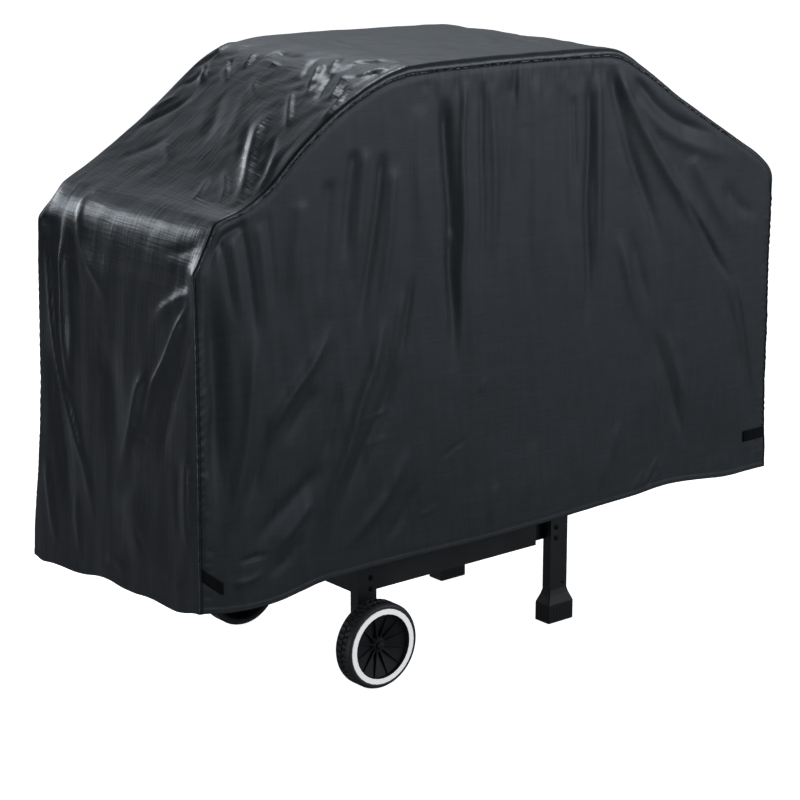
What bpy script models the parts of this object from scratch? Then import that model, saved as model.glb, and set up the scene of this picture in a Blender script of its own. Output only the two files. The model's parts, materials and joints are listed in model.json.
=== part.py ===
"""Fitted fabric cover on a two-wheeled gas grill cart, as a person would take it apart.

Frame: metres, +Z up, ground at Z = 0, origin under the middle of the cover.
+X runs along the long side, towards the two feet, and -Y is the front, where the control panel is.
"""

import math

import bmesh
import bpy
from mathutils import Matrix, Vector

# ---- driving dimensions -------------------------------------------------------------------
COVER_WIDTH = 1.524
COVER_DEPTH = 0.530
HEM_Z = 0.260
SHOULDER_Z = 0.918
CREST_HALF = 0.704
CREST_Z = 0.988
CROWN_HALF = 0.325
CROWN_Z = 1.225
FABRIC = 0.002

STRAP_WIDTH = 0.024
STRAP_TOP_Z = 0.351
STRAP_THICK = 0.0015
STRAP_RUN = {"left": 0.046, "right": 0.066}
STRAP_DROP = {"left": 0.036, "right": 0.0}

LEG_LEFT_X = -0.309
LEG_RIGHT_X = 0.214
AXLE_X = -0.322
LEG_Y = 0.1775
LEG_WIDE = 0.048
LEG_DEEP = 0.024
LEG_WALL = 0.0016
LEG_TOP_Z = 0.950

RAIL_LOW_Z = 0.1825
RAIL_TALL = 0.090
RAIL_DEEP = 0.020
RAIL_WALL = 0.002
RAIL_RECESS = 0.003
RAIL_STOP = 0.040

WHEEL_R = 0.089
WHEEL_WIDE = 0.046
WHEEL_Y = 0.2335
RIM_R = 0.0785
RING_IN_R = 0.0673
RING_OUT_R = 0.0780
AXLE_R = 0.005

FOOT_WIDE = 0.0715
FOOT_DEEP = 0.044
FOOT_STRAIGHT = 0.041
FOOT_TALL = 0.0735

FIREBOX_HALF = 0.300
FIREBOX_LOW_Z = 0.790
FIREBOX_WAIST_Z = 0.890
COOK_Z = 0.970
HOOD_TOP_Z = 1.188
SHELF_START = 0.337
SHELF_END = 0.690
SHELF_TOP_Z = 0.952
SHELF_HALF_DEPTH = 0.235
SHELF_THICK = 0.020

GAP = 0.0003
ROUND_STEPS = 32
SMALL_STEPS = 12

FRONT = -1.0
BACK = 1.0
LEFT = -1.0
RIGHT = 1.0

AXIS_TURN = {
    "X": Matrix.Rotation(math.radians(90), 4, "Y"),
    "Y": Matrix.Rotation(math.radians(-90), 4, "X"),
    "-Y": Matrix.Rotation(math.radians(90), 4, "X"),
    "Z": Matrix.Identity(4),
}


# ---- scene and materials ------------------------------------------------------------------
def clear_scene():
    for item in list(bpy.data.objects):
        bpy.data.objects.remove(item)


def new_collection(name):
    collection = bpy.data.collections.new(name)
    bpy.context.scene.collection.children.link(collection)
    return collection


def new_material(name, colour, roughness, metallic=0.0):
    material = bpy.data.materials.new(name)
    material.use_nodes = True
    shader = material.node_tree.nodes["Principled BSDF"]
    shader.inputs["Base Color"].default_value = (*colour, 1.0)
    shader.inputs["Roughness"].default_value = roughness
    shader.inputs["Metallic"].default_value = metallic
    return material


clear_scene()
PARTS = new_collection("covered_grill")
CUTTERS = new_collection("cutters")
CUTTERS.hide_render = True

FABRIC_BLACK = new_material("fabric_black", (0.028, 0.031, 0.034), 0.55)
STRAP_BLACK = new_material("strap_black", (0.008, 0.008, 0.009), 0.85)
PAINT_BLACK = new_material("paint_black", (0.022, 0.023, 0.025), 0.45)
PLASTIC_BLACK = new_material("plastic_black", (0.018, 0.020, 0.021), 0.5)
TYRE_BLACK = new_material("tyre_black", (0.015, 0.016, 0.016), 0.7)
RING_WHITE = new_material("ring_white", (0.85, 0.85, 0.84), 0.45)
STEEL = new_material("steel", (0.35, 0.35, 0.36), 0.35, 1.0)
BOLT_BLACK = new_material("bolt_black", (0.02, 0.02, 0.022), 0.4, 0.6)
CAST_ALUMINIUM = new_material("cast_aluminium", (0.05, 0.05, 0.052), 0.6, 0.3)
GRATE_IRON = new_material("grate_iron", (0.03, 0.03, 0.03), 0.7, 0.4)


# ---- shape helpers ------------------------------------------------------------------------
def mesh_object(name, shape, material, collection=None):
    """Object of a finished bmesh."""
    mesh = bpy.data.meshes.new(name)
    shape.to_mesh(mesh)
    shape.free()
    return place_new(name, mesh, material, collection)


def place_new(name, data, material, collection=None):
    """Object of finished mesh or curve data, in the parts' collection, with its material."""
    item = bpy.data.objects.new(name, data)
    (collection or PARTS).objects.link(item)
    item.data.materials.clear()
    if material:
        item.data.materials.append(material)
    return item


def round_edges(item, width, segments=1):
    bevel = item.modifiers.new("Bevel", "BEVEL")
    bevel.width = width
    bevel.segments = segments
    bevel.limit_method = "ANGLE"
    return item


def smooth(item, degrees=35):
    item.data.shade_smooth()
    item.data.set_sharp_from_angle(angle=math.radians(degrees))
    return item


def box(name, low, high, material, bevel=0.0, collection=None):
    """Box between two opposite corners."""
    low, high = Vector(low), Vector(high)
    shape = bmesh.new()
    bmesh.ops.create_cube(shape, size=1.0)
    bmesh.ops.scale(shape, vec=high - low, verts=shape.verts)
    item = mesh_object(name, shape, material, collection)
    item.location = (low + high) / 2
    if bevel:
        round_edges(item, bevel)
    return item


def rod(name, radius, start, length, axis, material, steps=SMALL_STEPS, collection=None, tip=None):
    """Round bar from start, along axis; tip is its radius at the far end."""
    shape = bmesh.new()
    bmesh.ops.create_cone(
        shape,
        cap_ends=True,
        segments=steps,
        radius1=radius,
        radius2=radius if tip is None else tip,
        depth=length,
    )
    bmesh.ops.translate(shape, vec=(0, 0, length / 2), verts=shape.verts)
    bmesh.ops.transform(shape, matrix=AXIS_TURN[axis], verts=shape.verts)
    item = mesh_object(name, shape, material, collection)
    item.location = start
    return smooth(item)


def turned(name, profile, centre, axis, material, steps=ROUND_STEPS, closed=True):
    """Turned shape: profile is (radius, height) points, outer side running down; axis is its spin axis."""
    mesh = bpy.data.meshes.new(name)
    points = [(radius, 0.0, height) for radius, height in profile]
    edges = [(i, i + 1) for i in range(len(points) - 1)]
    if closed:
        edges.append((len(points) - 1, 0))
    mesh.from_pydata(points, edges, [])
    item = place_new(name, mesh, material)
    screw = item.modifiers.new("Screw", "SCREW")
    screw.steps = steps
    screw.render_steps = steps
    screw.use_merge_vertices = True
    screw.merge_threshold = 0.0001
    screw.use_smooth_shade = True
    item.matrix_world = Matrix.Translation(centre) @ AXIS_TURN[axis]
    return item


def plate(name, outlines, thickness, turn, centre, material, collection=None):
    """Flat plate: closed 2D outlines, the first the edge and the rest holes, filled and extruded."""
    curve = bpy.data.curves.new(name, "CURVE")
    curve.dimensions = "2D"
    curve.fill_mode = "BOTH"
    curve.extrude = thickness / 2
    for outline in outlines:
        spline = curve.splines.new("POLY")
        spline.points.add(len(outline) - 1)
        for point, (u, v) in zip(spline.points, outline):
            point.co = (u, v, 0.0, 1.0)
        spline.use_cyclic_u = True
    item = place_new(name, curve, material, collection)
    item.matrix_world = Matrix.Translation(centre) @ turn
    return item


def as_mesh(item):
    """The same object as a mesh with welded caps, ready for a Boolean."""
    bpy.context.view_layer.update()
    evaluated = item.evaluated_get(bpy.context.evaluated_depsgraph_get())
    mesh = bpy.data.meshes.new_from_object(evaluated)
    shape = bmesh.new()
    shape.from_mesh(mesh)
    bmesh.ops.remove_doubles(shape, verts=shape.verts, dist=0.00001)
    bmesh.ops.recalc_face_normals(shape, faces=shape.faces)
    shape.to_mesh(mesh)
    shape.free()
    name = item.name
    collection = item.users_collection[0]
    world = item.matrix_world.copy()
    bpy.data.objects.remove(item)
    solid = bpy.data.objects.new(name, mesh)
    collection.objects.link(solid)
    solid.matrix_world = world
    return solid


def combine(item, other, operation):
    """Boolean modifier with the other object, which becomes a hidden helper."""
    boolean = item.modifiers.new(operation.title(), "BOOLEAN")
    boolean.operation = operation
    boolean.object = other
    for holder in list(other.users_collection):
        holder.objects.unlink(other)
    CUTTERS.objects.link(other)
    other.hide_render = True
    other.display_type = "WIRE"
    return item


def cut(item, other):
    return combine(item, other, "DIFFERENCE")


def join(item, other):
    return combine(item, other, "UNION")


# A plate drawn in X and Z stands upright facing the front; one drawn in Y and Z faces an end.
TURN_FRONT = Matrix.Rotation(math.radians(90), 4, "X")
TURN_END = Matrix.Rotation(math.radians(90), 4, "Z") @ Matrix.Rotation(math.radians(90), 4, "X")
TURN_FLAT = Matrix.Identity(4)


# ---- the fabric cover ---------------------------------------------------------------------
def cover_profile():
    """End-to-end line of the cover's top, left hem to right hem, as X and Z."""
    half = COVER_WIDTH / 2
    left = [
        (-half, HEM_Z),
        (-half, SHOULDER_Z),
        (-CREST_HALF, CREST_Z),
        (-CROWN_HALF, CROWN_Z),
    ]
    right = [(-x, z) for x, z in reversed(left)]
    return left + right


def cover_long_panel(name, side):
    """Front or back panel, six-sided, with sloping shoulders."""
    y = side * (COVER_DEPTH - FABRIC) / 2
    return plate(name, [cover_profile()], FABRIC, TURN_FRONT, (0, y, 0), FABRIC_BLACK)


def cover_top_strip():
    """One length of fabric from the left hem, over the crown, to the right hem."""
    curve = bpy.data.curves.new("cover_top_strip", "CURVE")
    curve.dimensions = "2D"
    curve.fill_mode = "NONE"
    curve.extrude = COVER_DEPTH / 2 - FABRIC - GAP
    spline = curve.splines.new("POLY")
    outline = cover_profile()
    spline.points.add(len(outline) - 1)
    for point, (x, z) in zip(spline.points, outline):
        point.co = (x, z, 0.0, 1.0)
    item = place_new("cover_top_strip", curve, FABRIC_BLACK)
    item.matrix_world = TURN_FRONT
    strip = as_mesh(item)
    strip.data.materials.append(FABRIC_BLACK)
    upward = max(strip.data.polygons, key=lambda face: (strip.matrix_world @ face.center).z)
    faces_up = (strip.matrix_world.to_3x3() @ upward.normal).z > 0
    shell = strip.modifiers.new("Solidify", "SOLIDIFY")
    shell.thickness = FABRIC
    shell.offset = -1.0 if faces_up else 1.0
    shell.use_even_offset = True
    return strip


def strap_outline(direction, slope, start, stop):
    """Tab in X and Z about its sewn edge, running from start to stop with its own slope."""
    top = [(direction * u, -slope * u) for u in (start, stop)]
    low = [(direction * u, -slope * u - STRAP_WIDTH) for u in (stop, start)]
    return top + low


def corner_strap(end_name, end, face_name, face):
    """Fastening strap sewn into a corner seam, hanging against the panel."""
    run = STRAP_RUN[end_name]
    slope = STRAP_DROP[end_name] / run
    seam_x = end * (COVER_WIDTH / 2 - 0.002)
    y = face * (COVER_DEPTH / 2 + 2 * GAP + STRAP_THICK / 2)
    return plate(
        f"{face_name}_{end_name}_strap",
        [strap_outline(-end, slope, 0.0, run)],
        STRAP_THICK,
        TURN_FRONT,
        (seam_x, y, STRAP_TOP_Z),
        STRAP_BLACK,
    )


def build_cover():
    cover_long_panel("cover_front_panel", FRONT)
    cover_long_panel("cover_back_panel", BACK)
    cover_top_strip()
    for end_name, end in (("left", LEFT), ("right", RIGHT)):
        for face_name, face in (("front", FRONT), ("back", BACK)):
            corner_strap(end_name, end, face_name, face)


# ---- the cart's frame ---------------------------------------------------------------------
BOLT_R = 0.003
BOLT_HEAD_R = 0.0058
BOLT_HEAD = 0.0034
BOLT_HIGH_Z = RAIL_LOW_Z + 0.029
BOLT_PITCH = 0.0235
BOLT_LEFT_X = LEG_LEFT_X + 0.0097
BOLT_RIGHT_X = LEG_RIGHT_X - 0.0077


def rectangle(wide, deep):
    return [
        (-wide / 2, -deep / 2),
        (wide / 2, -deep / 2),
        (wide / 2, deep / 2),
        (-wide / 2, deep / 2),
    ]


def bolt_places(bolt_x):
    return [("upper", bolt_x, BOLT_HIGH_Z), ("lower", bolt_x, BOLT_HIGH_Z - BOLT_PITCH)]


def hole_along_y(item, x, z, radius, y_from, y_to):
    cutter = rod("hole", radius, (x, y_from, z), y_to - y_from, "Y", None)
    return cut(item, cutter)


def leg(name, x, face, low_z, bolt_x):
    """Rectangular tube, with its bolt holes, and an axle hole where it carries the wheels."""
    inside = rectangle(LEG_WIDE - 2 * LEG_WALL, LEG_DEEP - 2 * LEG_WALL)
    tube = plate(
        name,
        [rectangle(LEG_WIDE, LEG_DEEP), inside],
        LEG_TOP_Z - low_z,
        TURN_FLAT,
        (x, face * LEG_Y, (LEG_TOP_Z + low_z) / 2),
        None,
    )
    tube = as_mesh(tube)
    tube.data.materials.append(PAINT_BLACK)
    reach = LEG_DEEP
    for _, hole_x, hole_z in bolt_places(bolt_x):
        hole_along_y(tube, hole_x, hole_z, BOLT_R + GAP, face * LEG_Y - reach, face * LEG_Y + reach)
    if x < 0:
        y_from, y_to = face * LEG_Y - reach, face * LEG_Y + reach
        hole_along_y(tube, AXLE_X, WHEEL_R, AXLE_R + GAP, y_from, y_to)
    return tube


def frame_bolt(name, x, z, face):
    """Button-head bolt through the leg and the rail's tab behind it."""
    outer = face * (LEG_Y + LEG_DEEP / 2 + GAP)
    grip = LEG_DEEP + RAIL_WALL + 0.004
    head = [
        (0.0, BOLT_HEAD),
        (BOLT_HEAD_R * 0.55, BOLT_HEAD),
        (BOLT_HEAD_R, BOLT_HEAD * 0.35),
        (BOLT_HEAD_R, 0.0),
        (BOLT_R, 0.0),
        (BOLT_R, -grip),
        (0.0, -grip),
    ]
    axis = "-Y" if face == FRONT else "Y"
    return turned(name, head, (x, outer, z), axis, BOLT_BLACK, SMALL_STEPS, closed=False)


def foot(name, face):
    """Flared plastic cap around the leg's end."""
    shape = bmesh.new()
    bmesh.ops.create_cube(shape, size=1.0)
    bmesh.ops.scale(shape, vec=(FOOT_WIDE, FOOT_DEEP, FOOT_TALL), verts=shape.verts)
    bmesh.ops.translate(shape, vec=(0, 0, FOOT_TALL / 2), verts=shape.verts)
    bmesh.ops.bisect_plane(
        shape,
        geom=shape.verts[:] + shape.edges[:] + shape.faces[:],
        plane_co=(0, 0, FOOT_STRAIGHT),
        plane_no=(0, 0, 1),
    )
    neck = (LEG_WIDE + 0.005) / FOOT_WIDE
    neck_deep = (LEG_DEEP + 0.005) / FOOT_DEEP
    for vert in shape.verts:
        if vert.co.z > FOOT_STRAIGHT + GAP:
            vert.co.x *= neck
            vert.co.y *= neck_deep
    item = mesh_object(name, shape, PLASTIC_BLACK)
    item.location = (LEG_RIGHT_X, face * LEG_Y, 0)
    round_edges(item, 0.002)
    pocket = box(
        "pocket",
        (-LEG_WIDE / 2 - GAP, -LEG_DEEP / 2 - GAP, LEG_BOTTOM_Z - GAP),
        (LEG_WIDE / 2 + GAP, LEG_DEEP / 2 + GAP, FOOT_TALL * 1.2),
        None,
    )
    pocket.location += Vector((LEG_RIGHT_X, face * LEG_Y, 0))
    return cut(item, pocket)


LEG_BOTTOM_Z = 0.010
WHEEL_LEG_BOTTOM_Z = 0.062


def foot_screw(name, face):
    """Small screw in the leg, just above its foot."""
    z = FOOT_TALL + 0.0105
    outer = face * (LEG_Y + LEG_DEEP / 2 + GAP)
    head = [(0.0, 0.0016), (0.0034, 0.001), (0.0034, 0.0), (0.0, 0.0)]
    axis = "-Y" if face == FRONT else "Y"
    x = LEG_RIGHT_X + 0.0125
    return turned(name, head, (x, outer, z), axis, BOLT_BLACK, SMALL_STEPS, closed=False)


def channel_outline():
    """C section, open towards +U: a web RAIL_TALL high and two flanges."""
    high = RAIL_TALL / 2
    web = RAIL_WALL
    return [
        (0.0, -high),
        (RAIL_DEEP, -high),
        (RAIL_DEEP, -high + web),
        (web, -high + web),
        (web, high - web),
        (RAIL_DEEP, high - web),
        (RAIL_DEEP, high),
        (0.0, high),
    ]


def mirrored(outline):
    return [(-u, v) for u, v in reversed(outline)]


LEG_INNER_Y = LEG_Y - LEG_DEEP / 2
TAB_BACK_Y = LEG_INNER_Y - GAP - RAIL_WALL


def end_rail(name, outer_x, outline):
    """Channel between a front and a back leg."""
    reach = TAB_BACK_Y - GAP
    mid_z = RAIL_LOW_Z + RAIL_TALL / 2
    return plate(name, [outline], 2 * reach, TURN_FRONT, (outer_x, 0, mid_z), PAINT_BLACK)


def tab(x_from, x_to, face, y_outer):
    """Upright plate of a long rail, out to y_outer from the plane behind the legs."""
    low_y, high_y = sorted((face * TAB_BACK_Y, face * y_outer))
    high_z = RAIL_LOW_Z + RAIL_TALL
    return box("tab", (x_from, low_y, RAIL_LOW_Z), (x_to, high_y, high_z), None)


def long_rail(name, face, outline):
    """Front or back channel, stepped back behind each leg, where the bolts hold it."""
    outer_y = LEG_Y + LEG_DEEP / 2 - RAIL_RECESS
    start = LEG_LEFT_X + LEG_WIDE / 2 + GAP
    stop = LEG_RIGHT_X - LEG_WIDE / 2 - RAIL_STOP
    centre = ((start + stop) / 2, face * outer_y, RAIL_LOW_Z + RAIL_TALL / 2)
    rail = as_mesh(plate(name, [outline], stop - start, TURN_END, centre, None))
    rail.data.materials.append(PAINT_BLACK)
    tab_y = TAB_BACK_Y + RAIL_WALL
    join(rail, tab(LEG_LEFT_X - LEG_WIDE / 2, start + 0.004, face, tab_y))
    join(rail, tab(start, start + RAIL_WALL, face, outer_y - RAIL_WALL / 2))
    join(rail, tab(stop - RAIL_WALL, stop, face, outer_y - RAIL_WALL / 2))
    join(rail, tab(stop - 0.004, LEG_RIGHT_X + LEG_WIDE / 2, face, tab_y))
    for bolt_x in (BOLT_LEFT_X, BOLT_RIGHT_X):
        for _, x, z in bolt_places(bolt_x):
            middle = face * (TAB_BACK_Y + RAIL_WALL / 2)
            hole_along_y(rail, x, z, BOLT_R + GAP, middle - 2 * RAIL_WALL, middle + 2 * RAIL_WALL)
    return rail


def rails():
    """Four channels that tie the legs together under the hem."""
    end_rail("left_rail", LEG_LEFT_X - LEG_WIDE / 2, channel_outline())
    end_rail("right_rail", LEG_RIGHT_X + LEG_WIDE / 2, mirrored(channel_outline()))
    long_rail("front_rail", FRONT, channel_outline())
    long_rail("back_rail", BACK, mirrored(channel_outline()))


def bottom_shelf():
    """Tray resting on the rails' top flanges, inside the legs."""
    inset = 0.002
    low_z = RAIL_LOW_Z + RAIL_TALL + GAP
    box(
        "bottom_shelf",
        (LEG_LEFT_X - LEG_WIDE / 2 + inset, -LEG_INNER_Y + inset, low_z),
        (LEG_RIGHT_X + LEG_WIDE / 2 - inset, LEG_INNER_Y - inset, low_z + 0.012),
        PAINT_BLACK,
        bevel=0.003,
    )


def build_frame():
    for face_name, face in (("front", FRONT), ("back", BACK)):
        leg(f"{face_name}_left_leg", LEG_LEFT_X, face, WHEEL_LEG_BOTTOM_Z, BOLT_LEFT_X)
        leg(f"{face_name}_right_leg", LEG_RIGHT_X, face, LEG_BOTTOM_Z, BOLT_RIGHT_X)
        foot(f"{face_name}_right_foot", face)
        foot_screw(f"{face_name}_foot_screw", face)
        for end_name, bolt_x in (("left", BOLT_LEFT_X), ("right", BOLT_RIGHT_X)):
            for level, x, z in bolt_places(bolt_x):
                frame_bolt(f"{face_name}_{end_name}_{level}_bolt", x, z, face)
    rails()
    bottom_shelf()


# ---- wheels and axle ----------------------------------------------------------------------
RIB_COUNT = 12
HUB_R = 0.015
DISH_HUB_Y = 0.004
DISH_EDGE_Y = 0.0155
DISH_THICK = 0.003
AXLE_END_Y = 0.0145
AXLE_NUT_R = 0.009


def tyre(name, centre, axis):
    """Plastic tyre with rounded shoulders and one running groove."""
    half = WHEEL_WIDE / 2
    seat = RIM_R + GAP
    groove_deep = 0.0025
    groove_half = 0.0015
    shoulder = [
        (seat, half - 0.001),
        (RIM_R + 0.003, half),
        (WHEEL_R - 0.004, half - 0.003),
        (WHEEL_R, half - 0.009),
    ]
    groove = [
        (WHEEL_R, groove_half),
        (WHEEL_R - groove_deep, groove_half * 0.6),
        (WHEEL_R - groove_deep, -groove_half * 0.6),
        (WHEEL_R, -groove_half),
    ]
    outside = shoulder + groove + [(r, -y) for r, y in reversed(shoulder)]
    return turned(name, outside, centre, axis, TYRE_BLACK)


def white_ring(name, centre, axis):
    """Flat white band pressed on the wheel's outer face."""
    back = WHEEL_WIDE / 2 - 0.0015
    front = back + 0.0021
    profile = [
        (RING_IN_R, front),
        (RING_OUT_R, front),
        (RING_OUT_R, back),
        (RING_IN_R, back),
    ]
    return turned(name, profile, centre, axis, RING_WHITE)


def rim(name, centre, axis):
    """Moulded rim: barrel, dished face, hub and radial ribs; the hub's bore runs on the axle."""
    half = WHEEL_WIDE / 2
    barrel_in = RIM_R - 0.003
    bore = AXLE_R + GAP
    ledge = half - 0.0015 - GAP
    face_in = RING_IN_R - 0.0015
    face_out = RING_IN_R - GAP
    hub_back = -(WHEEL_Y - LEG_Y - LEG_DEEP / 2 - 0.0015)
    profile = [
        (bore, 0.0115),
        (HUB_R * 0.9, 0.0115),
        (HUB_R + 0.004, DISH_HUB_Y),
        (face_in, DISH_EDGE_Y),
        (face_in, half + 0.0005),
        (face_out, half + 0.0005),
        (face_out, ledge),
        (RIM_R, ledge),
        (RIM_R, -half + 0.0015),
        (barrel_in, -half + 0.0015),
        (barrel_in, ledge - 0.003),
        (face_in, DISH_EDGE_Y - DISH_THICK),
        (HUB_R + 0.004, DISH_HUB_Y - DISH_THICK),
        (HUB_R - 0.003, hub_back),
        (bore, hub_back),
    ]
    body = as_mesh(turned(name, profile, centre, axis, PLASTIC_BLACK))
    body.data.materials.append(PLASTIC_BLACK)
    for index in range(RIB_COUNT):
        join(body, rim_rib(index, centre, axis))
    return body


def rim_rib(index, centre, axis):
    """One rib, tapering down from the hub to the band."""
    inner, outer = HUB_R - 0.002, RING_IN_R - 0.0008
    shape = bmesh.new()
    bmesh.ops.create_cube(shape, size=1.0)
    for vert in shape.verts:
        far = vert.co.x > 0
        low = DISH_EDGE_Y - 0.002 if far else DISH_HUB_Y - 0.002
        high = DISH_EDGE_Y + 0.003 if far else DISH_HUB_Y + 0.0055
        vert.co = (
            outer if far else inner,
            math.copysign(0.0011 if far else 0.0014, vert.co.y),
            high if vert.co.z > 0 else low,
        )
    rib = mesh_object("rib", shape, None)
    angle = 2 * math.pi * (index + 0.5) / RIB_COUNT
    rib.matrix_world = (
        Matrix.Translation(centre) @ AXIS_TURN[axis] @ Matrix.Rotation(angle, 4, "Z")
    )
    return rib


def axle_cap(name, centre, axis):
    """Push-on cap that keeps the wheel on the axle."""
    bore = AXLE_R + GAP
    low = 0.0118
    profile = [
        (0.0, low + 0.0060),
        (0.0065, low + 0.0052),
        (0.0085, low + 0.0030),
        (0.0085, low),
        (bore, low),
        (bore, AXLE_END_Y + GAP),
        (0.0, AXLE_END_Y + GAP),
    ]
    return turned(name, profile, centre, axis, PLASTIC_BLACK, 16, closed=False)


def stub_axle(name, centre, axis):
    """Short axle through one leg, with its head against the leg's inner face."""
    inner = -(WHEEL_Y - LEG_INNER_Y + GAP)
    profile = [
        (0.0, AXLE_END_Y),
        (AXLE_R, AXLE_END_Y),
        (AXLE_R, inner),
        (AXLE_NUT_R, inner),
        (AXLE_NUT_R, inner - 0.006),
        (0.0, inner - 0.006),
    ]
    return turned(name, profile, centre, axis, STEEL, 16, closed=False)


def build_wheels():
    for face_name, face in (("front", FRONT), ("back", BACK)):
        centre = Vector((AXLE_X, face * WHEEL_Y, WHEEL_R))
        axis = "-Y" if face == FRONT else "Y"
        tyre(f"{face_name}_wheel_tyre", centre, axis)
        white_ring(f"{face_name}_wheel_white_ring", centre, axis)
        rim(f"{face_name}_wheel_rim", centre, axis)
        axle_cap(f"{face_name}_axle_cap", centre, axis)
        stub_axle(f"{face_name}_axle", centre, axis)


# ---- the grill that holds the cover up ----------------------------------------------------
FIREBOX_HALF_DEEP = LEG_INNER_Y - GAP
FIREBOX_WALL = 0.004
LEDGE = 0.012
GRATE_Z = COOK_Z - 0.014
HEAT_Z = 0.905
HINGE_X = 0.13
HINGE_Y = FIREBOX_HALF_DEEP + 0.009
BURNER_Z = 0.853
BURNER_R = 0.013
BURNER_FEED_R = 0.009
PANEL_FRONT_Y = -0.2380
PANEL_BACK_Y = -(LEG_Y + LEG_DEEP / 2) - 0.0005
PANEL_LOW_Z = 0.838
PANEL_HIGH_Z = 0.962
KNOB_X = (-0.16, 0.16)
KNOB_Z = 0.898
KNOB_R = 0.020
KNOB_DEEP = 0.0145
MANIFOLD_Y = -0.214
MANIFOLD_R = 0.008
STEM_R = 0.0035
BUTTON_R = 0.008
PIN_R = 0.0035


def firebox():
    """Cast tub, open at the top, upright beside the legs and narrowing to its floor."""
    shape = bmesh.new()
    bmesh.ops.create_cube(shape, size=1.0)
    top = [face for face in shape.faces if face.normal.z > 0.5]
    bmesh.ops.delete(shape, geom=top, context="FACES_ONLY")
    size = (2 * FIREBOX_HALF, 2 * FIREBOX_HALF_DEEP, COOK_Z - FIREBOX_LOW_Z)
    bmesh.ops.scale(shape, vec=size, verts=shape.verts)
    bmesh.ops.translate(shape, vec=(0, 0, (COOK_Z + FIREBOX_LOW_Z) / 2), verts=shape.verts)
    bmesh.ops.bisect_plane(
        shape,
        geom=shape.verts[:] + shape.edges[:] + shape.faces[:],
        plane_co=(0, 0, FIREBOX_WAIST_Z),
        plane_no=(0, 0, 1),
    )
    floor = [vert for vert in shape.verts if vert.co.z < FIREBOX_WAIST_Z - GAP]
    bmesh.ops.scale(shape, vec=(0.85, 0.75, 1.0), verts=floor)
    tub = mesh_object("firebox", shape, CAST_ALUMINIUM)
    shell = tub.modifiers.new("Solidify", "SOLIDIFY")
    shell.thickness = FIREBOX_WALL
    shell.offset = -1.0
    shell.use_even_offset = True
    wall = FIREBOX_WALL
    inner = FIREBOX_HALF - wall
    for side in (LEFT, RIGHT):
        for name, top_z, half_y in (("grate_ledge", GRATE_Z, 0.10), ("heat_ledge", HEAT_Z, 0.05)):
            low_x, high_x = sorted((side * (inner + 0.001), side * (inner - LEDGE)))
            low = (low_x, -half_y, top_z - GAP - 0.008)
            join(tub, box(name, low, (high_x, half_y, top_z - GAP), None))
        lug_x = side * HINGE_X
        low, high = hinge_lug(lug_x - 0.030, lug_x - 0.0105, COOK_Z - 0.030)
        join(tub, box("lug", low, high, None))
        low, high = hinge_lug(lug_x + 0.0105, lug_x + 0.030, COOK_Z - 0.030)
        join(tub, box("lug", low, high, None))
        cut(tub, hinge_bore(lug_x))
    for x in KNOB_X:
        bore = rod("hole", BURNER_FEED_R + GAP, (x, 0, BURNER_Z), 0.2, "-Y", None)
        cut(tub, bore)
    return tub


def hinge_lug(x_from, x_to, z_from):
    """Opposite corners of a firebox block around a hinge pin, below the hood's rim where they meet."""
    y = FIREBOX_HALF_DEEP
    return (x_from, y - 0.003, z_from), (x_to, y + 0.017, COOK_Z - GAP)


def hinge_bore(x):
    return rod("hole", PIN_R + GAP, (x - 0.05, HINGE_Y, COOK_Z), 0.1, "X", None)


def hood_outline(inset):
    """Side view of the hood, in Y and Z: upright front, rounded brow, flat top, sloping back."""
    half = FIREBOX_HALF_DEEP - inset
    top = HOOD_TOP_Z - inset
    low = COOK_Z + 0.001 if inset == 0 else COOK_Z - 0.02
    brow = [
        (-half + 0.085 - 0.085 * math.cos(turn), top - 0.095 + 0.095 * math.sin(turn))
        for turn in (math.radians(15 * step) for step in range(7))
    ]
    nape = [
        (half - 0.055 + 0.055 * math.sin(turn), top - 0.07 + 0.07 * math.cos(turn))
        for turn in (math.radians(22.5 * step) for step in range(5))
    ]
    return [(-half, low)] + brow + nape + [(half, low)]


def hood():
    """Cast lid over the firebox, hollow from below, with a lug for each hinge."""
    width = 2 * FIREBOX_HALF
    outside = as_mesh(plate("hood", [hood_outline(0.0)], width, TURN_END, (0, 0, 0), None))
    outside.data.materials.append(CAST_ALUMINIUM)
    inside = as_mesh(
        plate("hood_inside", [hood_outline(0.004)], width - 0.008, TURN_END, (0, 0, 0), None)
    )
    cut(outside, inside)
    for side in (LEFT, RIGHT):
        x = side * HINGE_X
        y = FIREBOX_HALF_DEEP
        low = (x - 0.010, y + 0.0004, COOK_Z - 0.009)
        join(outside, box("lug", low, (x + 0.010, y + 0.017, COOK_Z + 0.020), None))
        low = (x - 0.010, y - 0.003, COOK_Z + 0.004)
        join(outside, box("lug", low, (x + 0.010, y + 0.010, COOK_Z + 0.020), None))
        cut(outside, hinge_bore(x))
    return outside


def hood_handle():
    """Bent tube handle on two feet in front of the hood."""
    curve = bpy.data.curves.new("hood_handle", "CURVE")
    curve.dimensions = "3D"
    curve.bevel_depth = 0.008
    curve.bevel_resolution = 2
    curve.use_fill_caps = True
    half, reach, turn_r = 0.20, 0.042, 0.018
    face_y = -FIREBOX_HALF_DEEP - GAP
    z = 1.035
    bend = [math.radians(22.5 * step) for step in range(5)]
    left = [(-half, face_y)] + [
        (-half + turn_r - turn_r * math.cos(a), face_y - reach + turn_r - turn_r * math.sin(a))
        for a in bend
    ]
    points = left + [(-x, y) for x, y in reversed(left)]
    spline = curve.splines.new("POLY")
    spline.points.add(len(points) - 1)
    for point, (x, y) in zip(spline.points, points):
        point.co = (x, y, z, 1.0)
    return place_new("hood_handle", curve, PLASTIC_BLACK)


def hinge_pin(name, side):
    """Pin through the hood's lug and the firebox's two."""
    return rod(name, PIN_R, (side * HINGE_X - 0.032, HINGE_Y, COOK_Z), 0.064, "X", STEEL)


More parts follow.
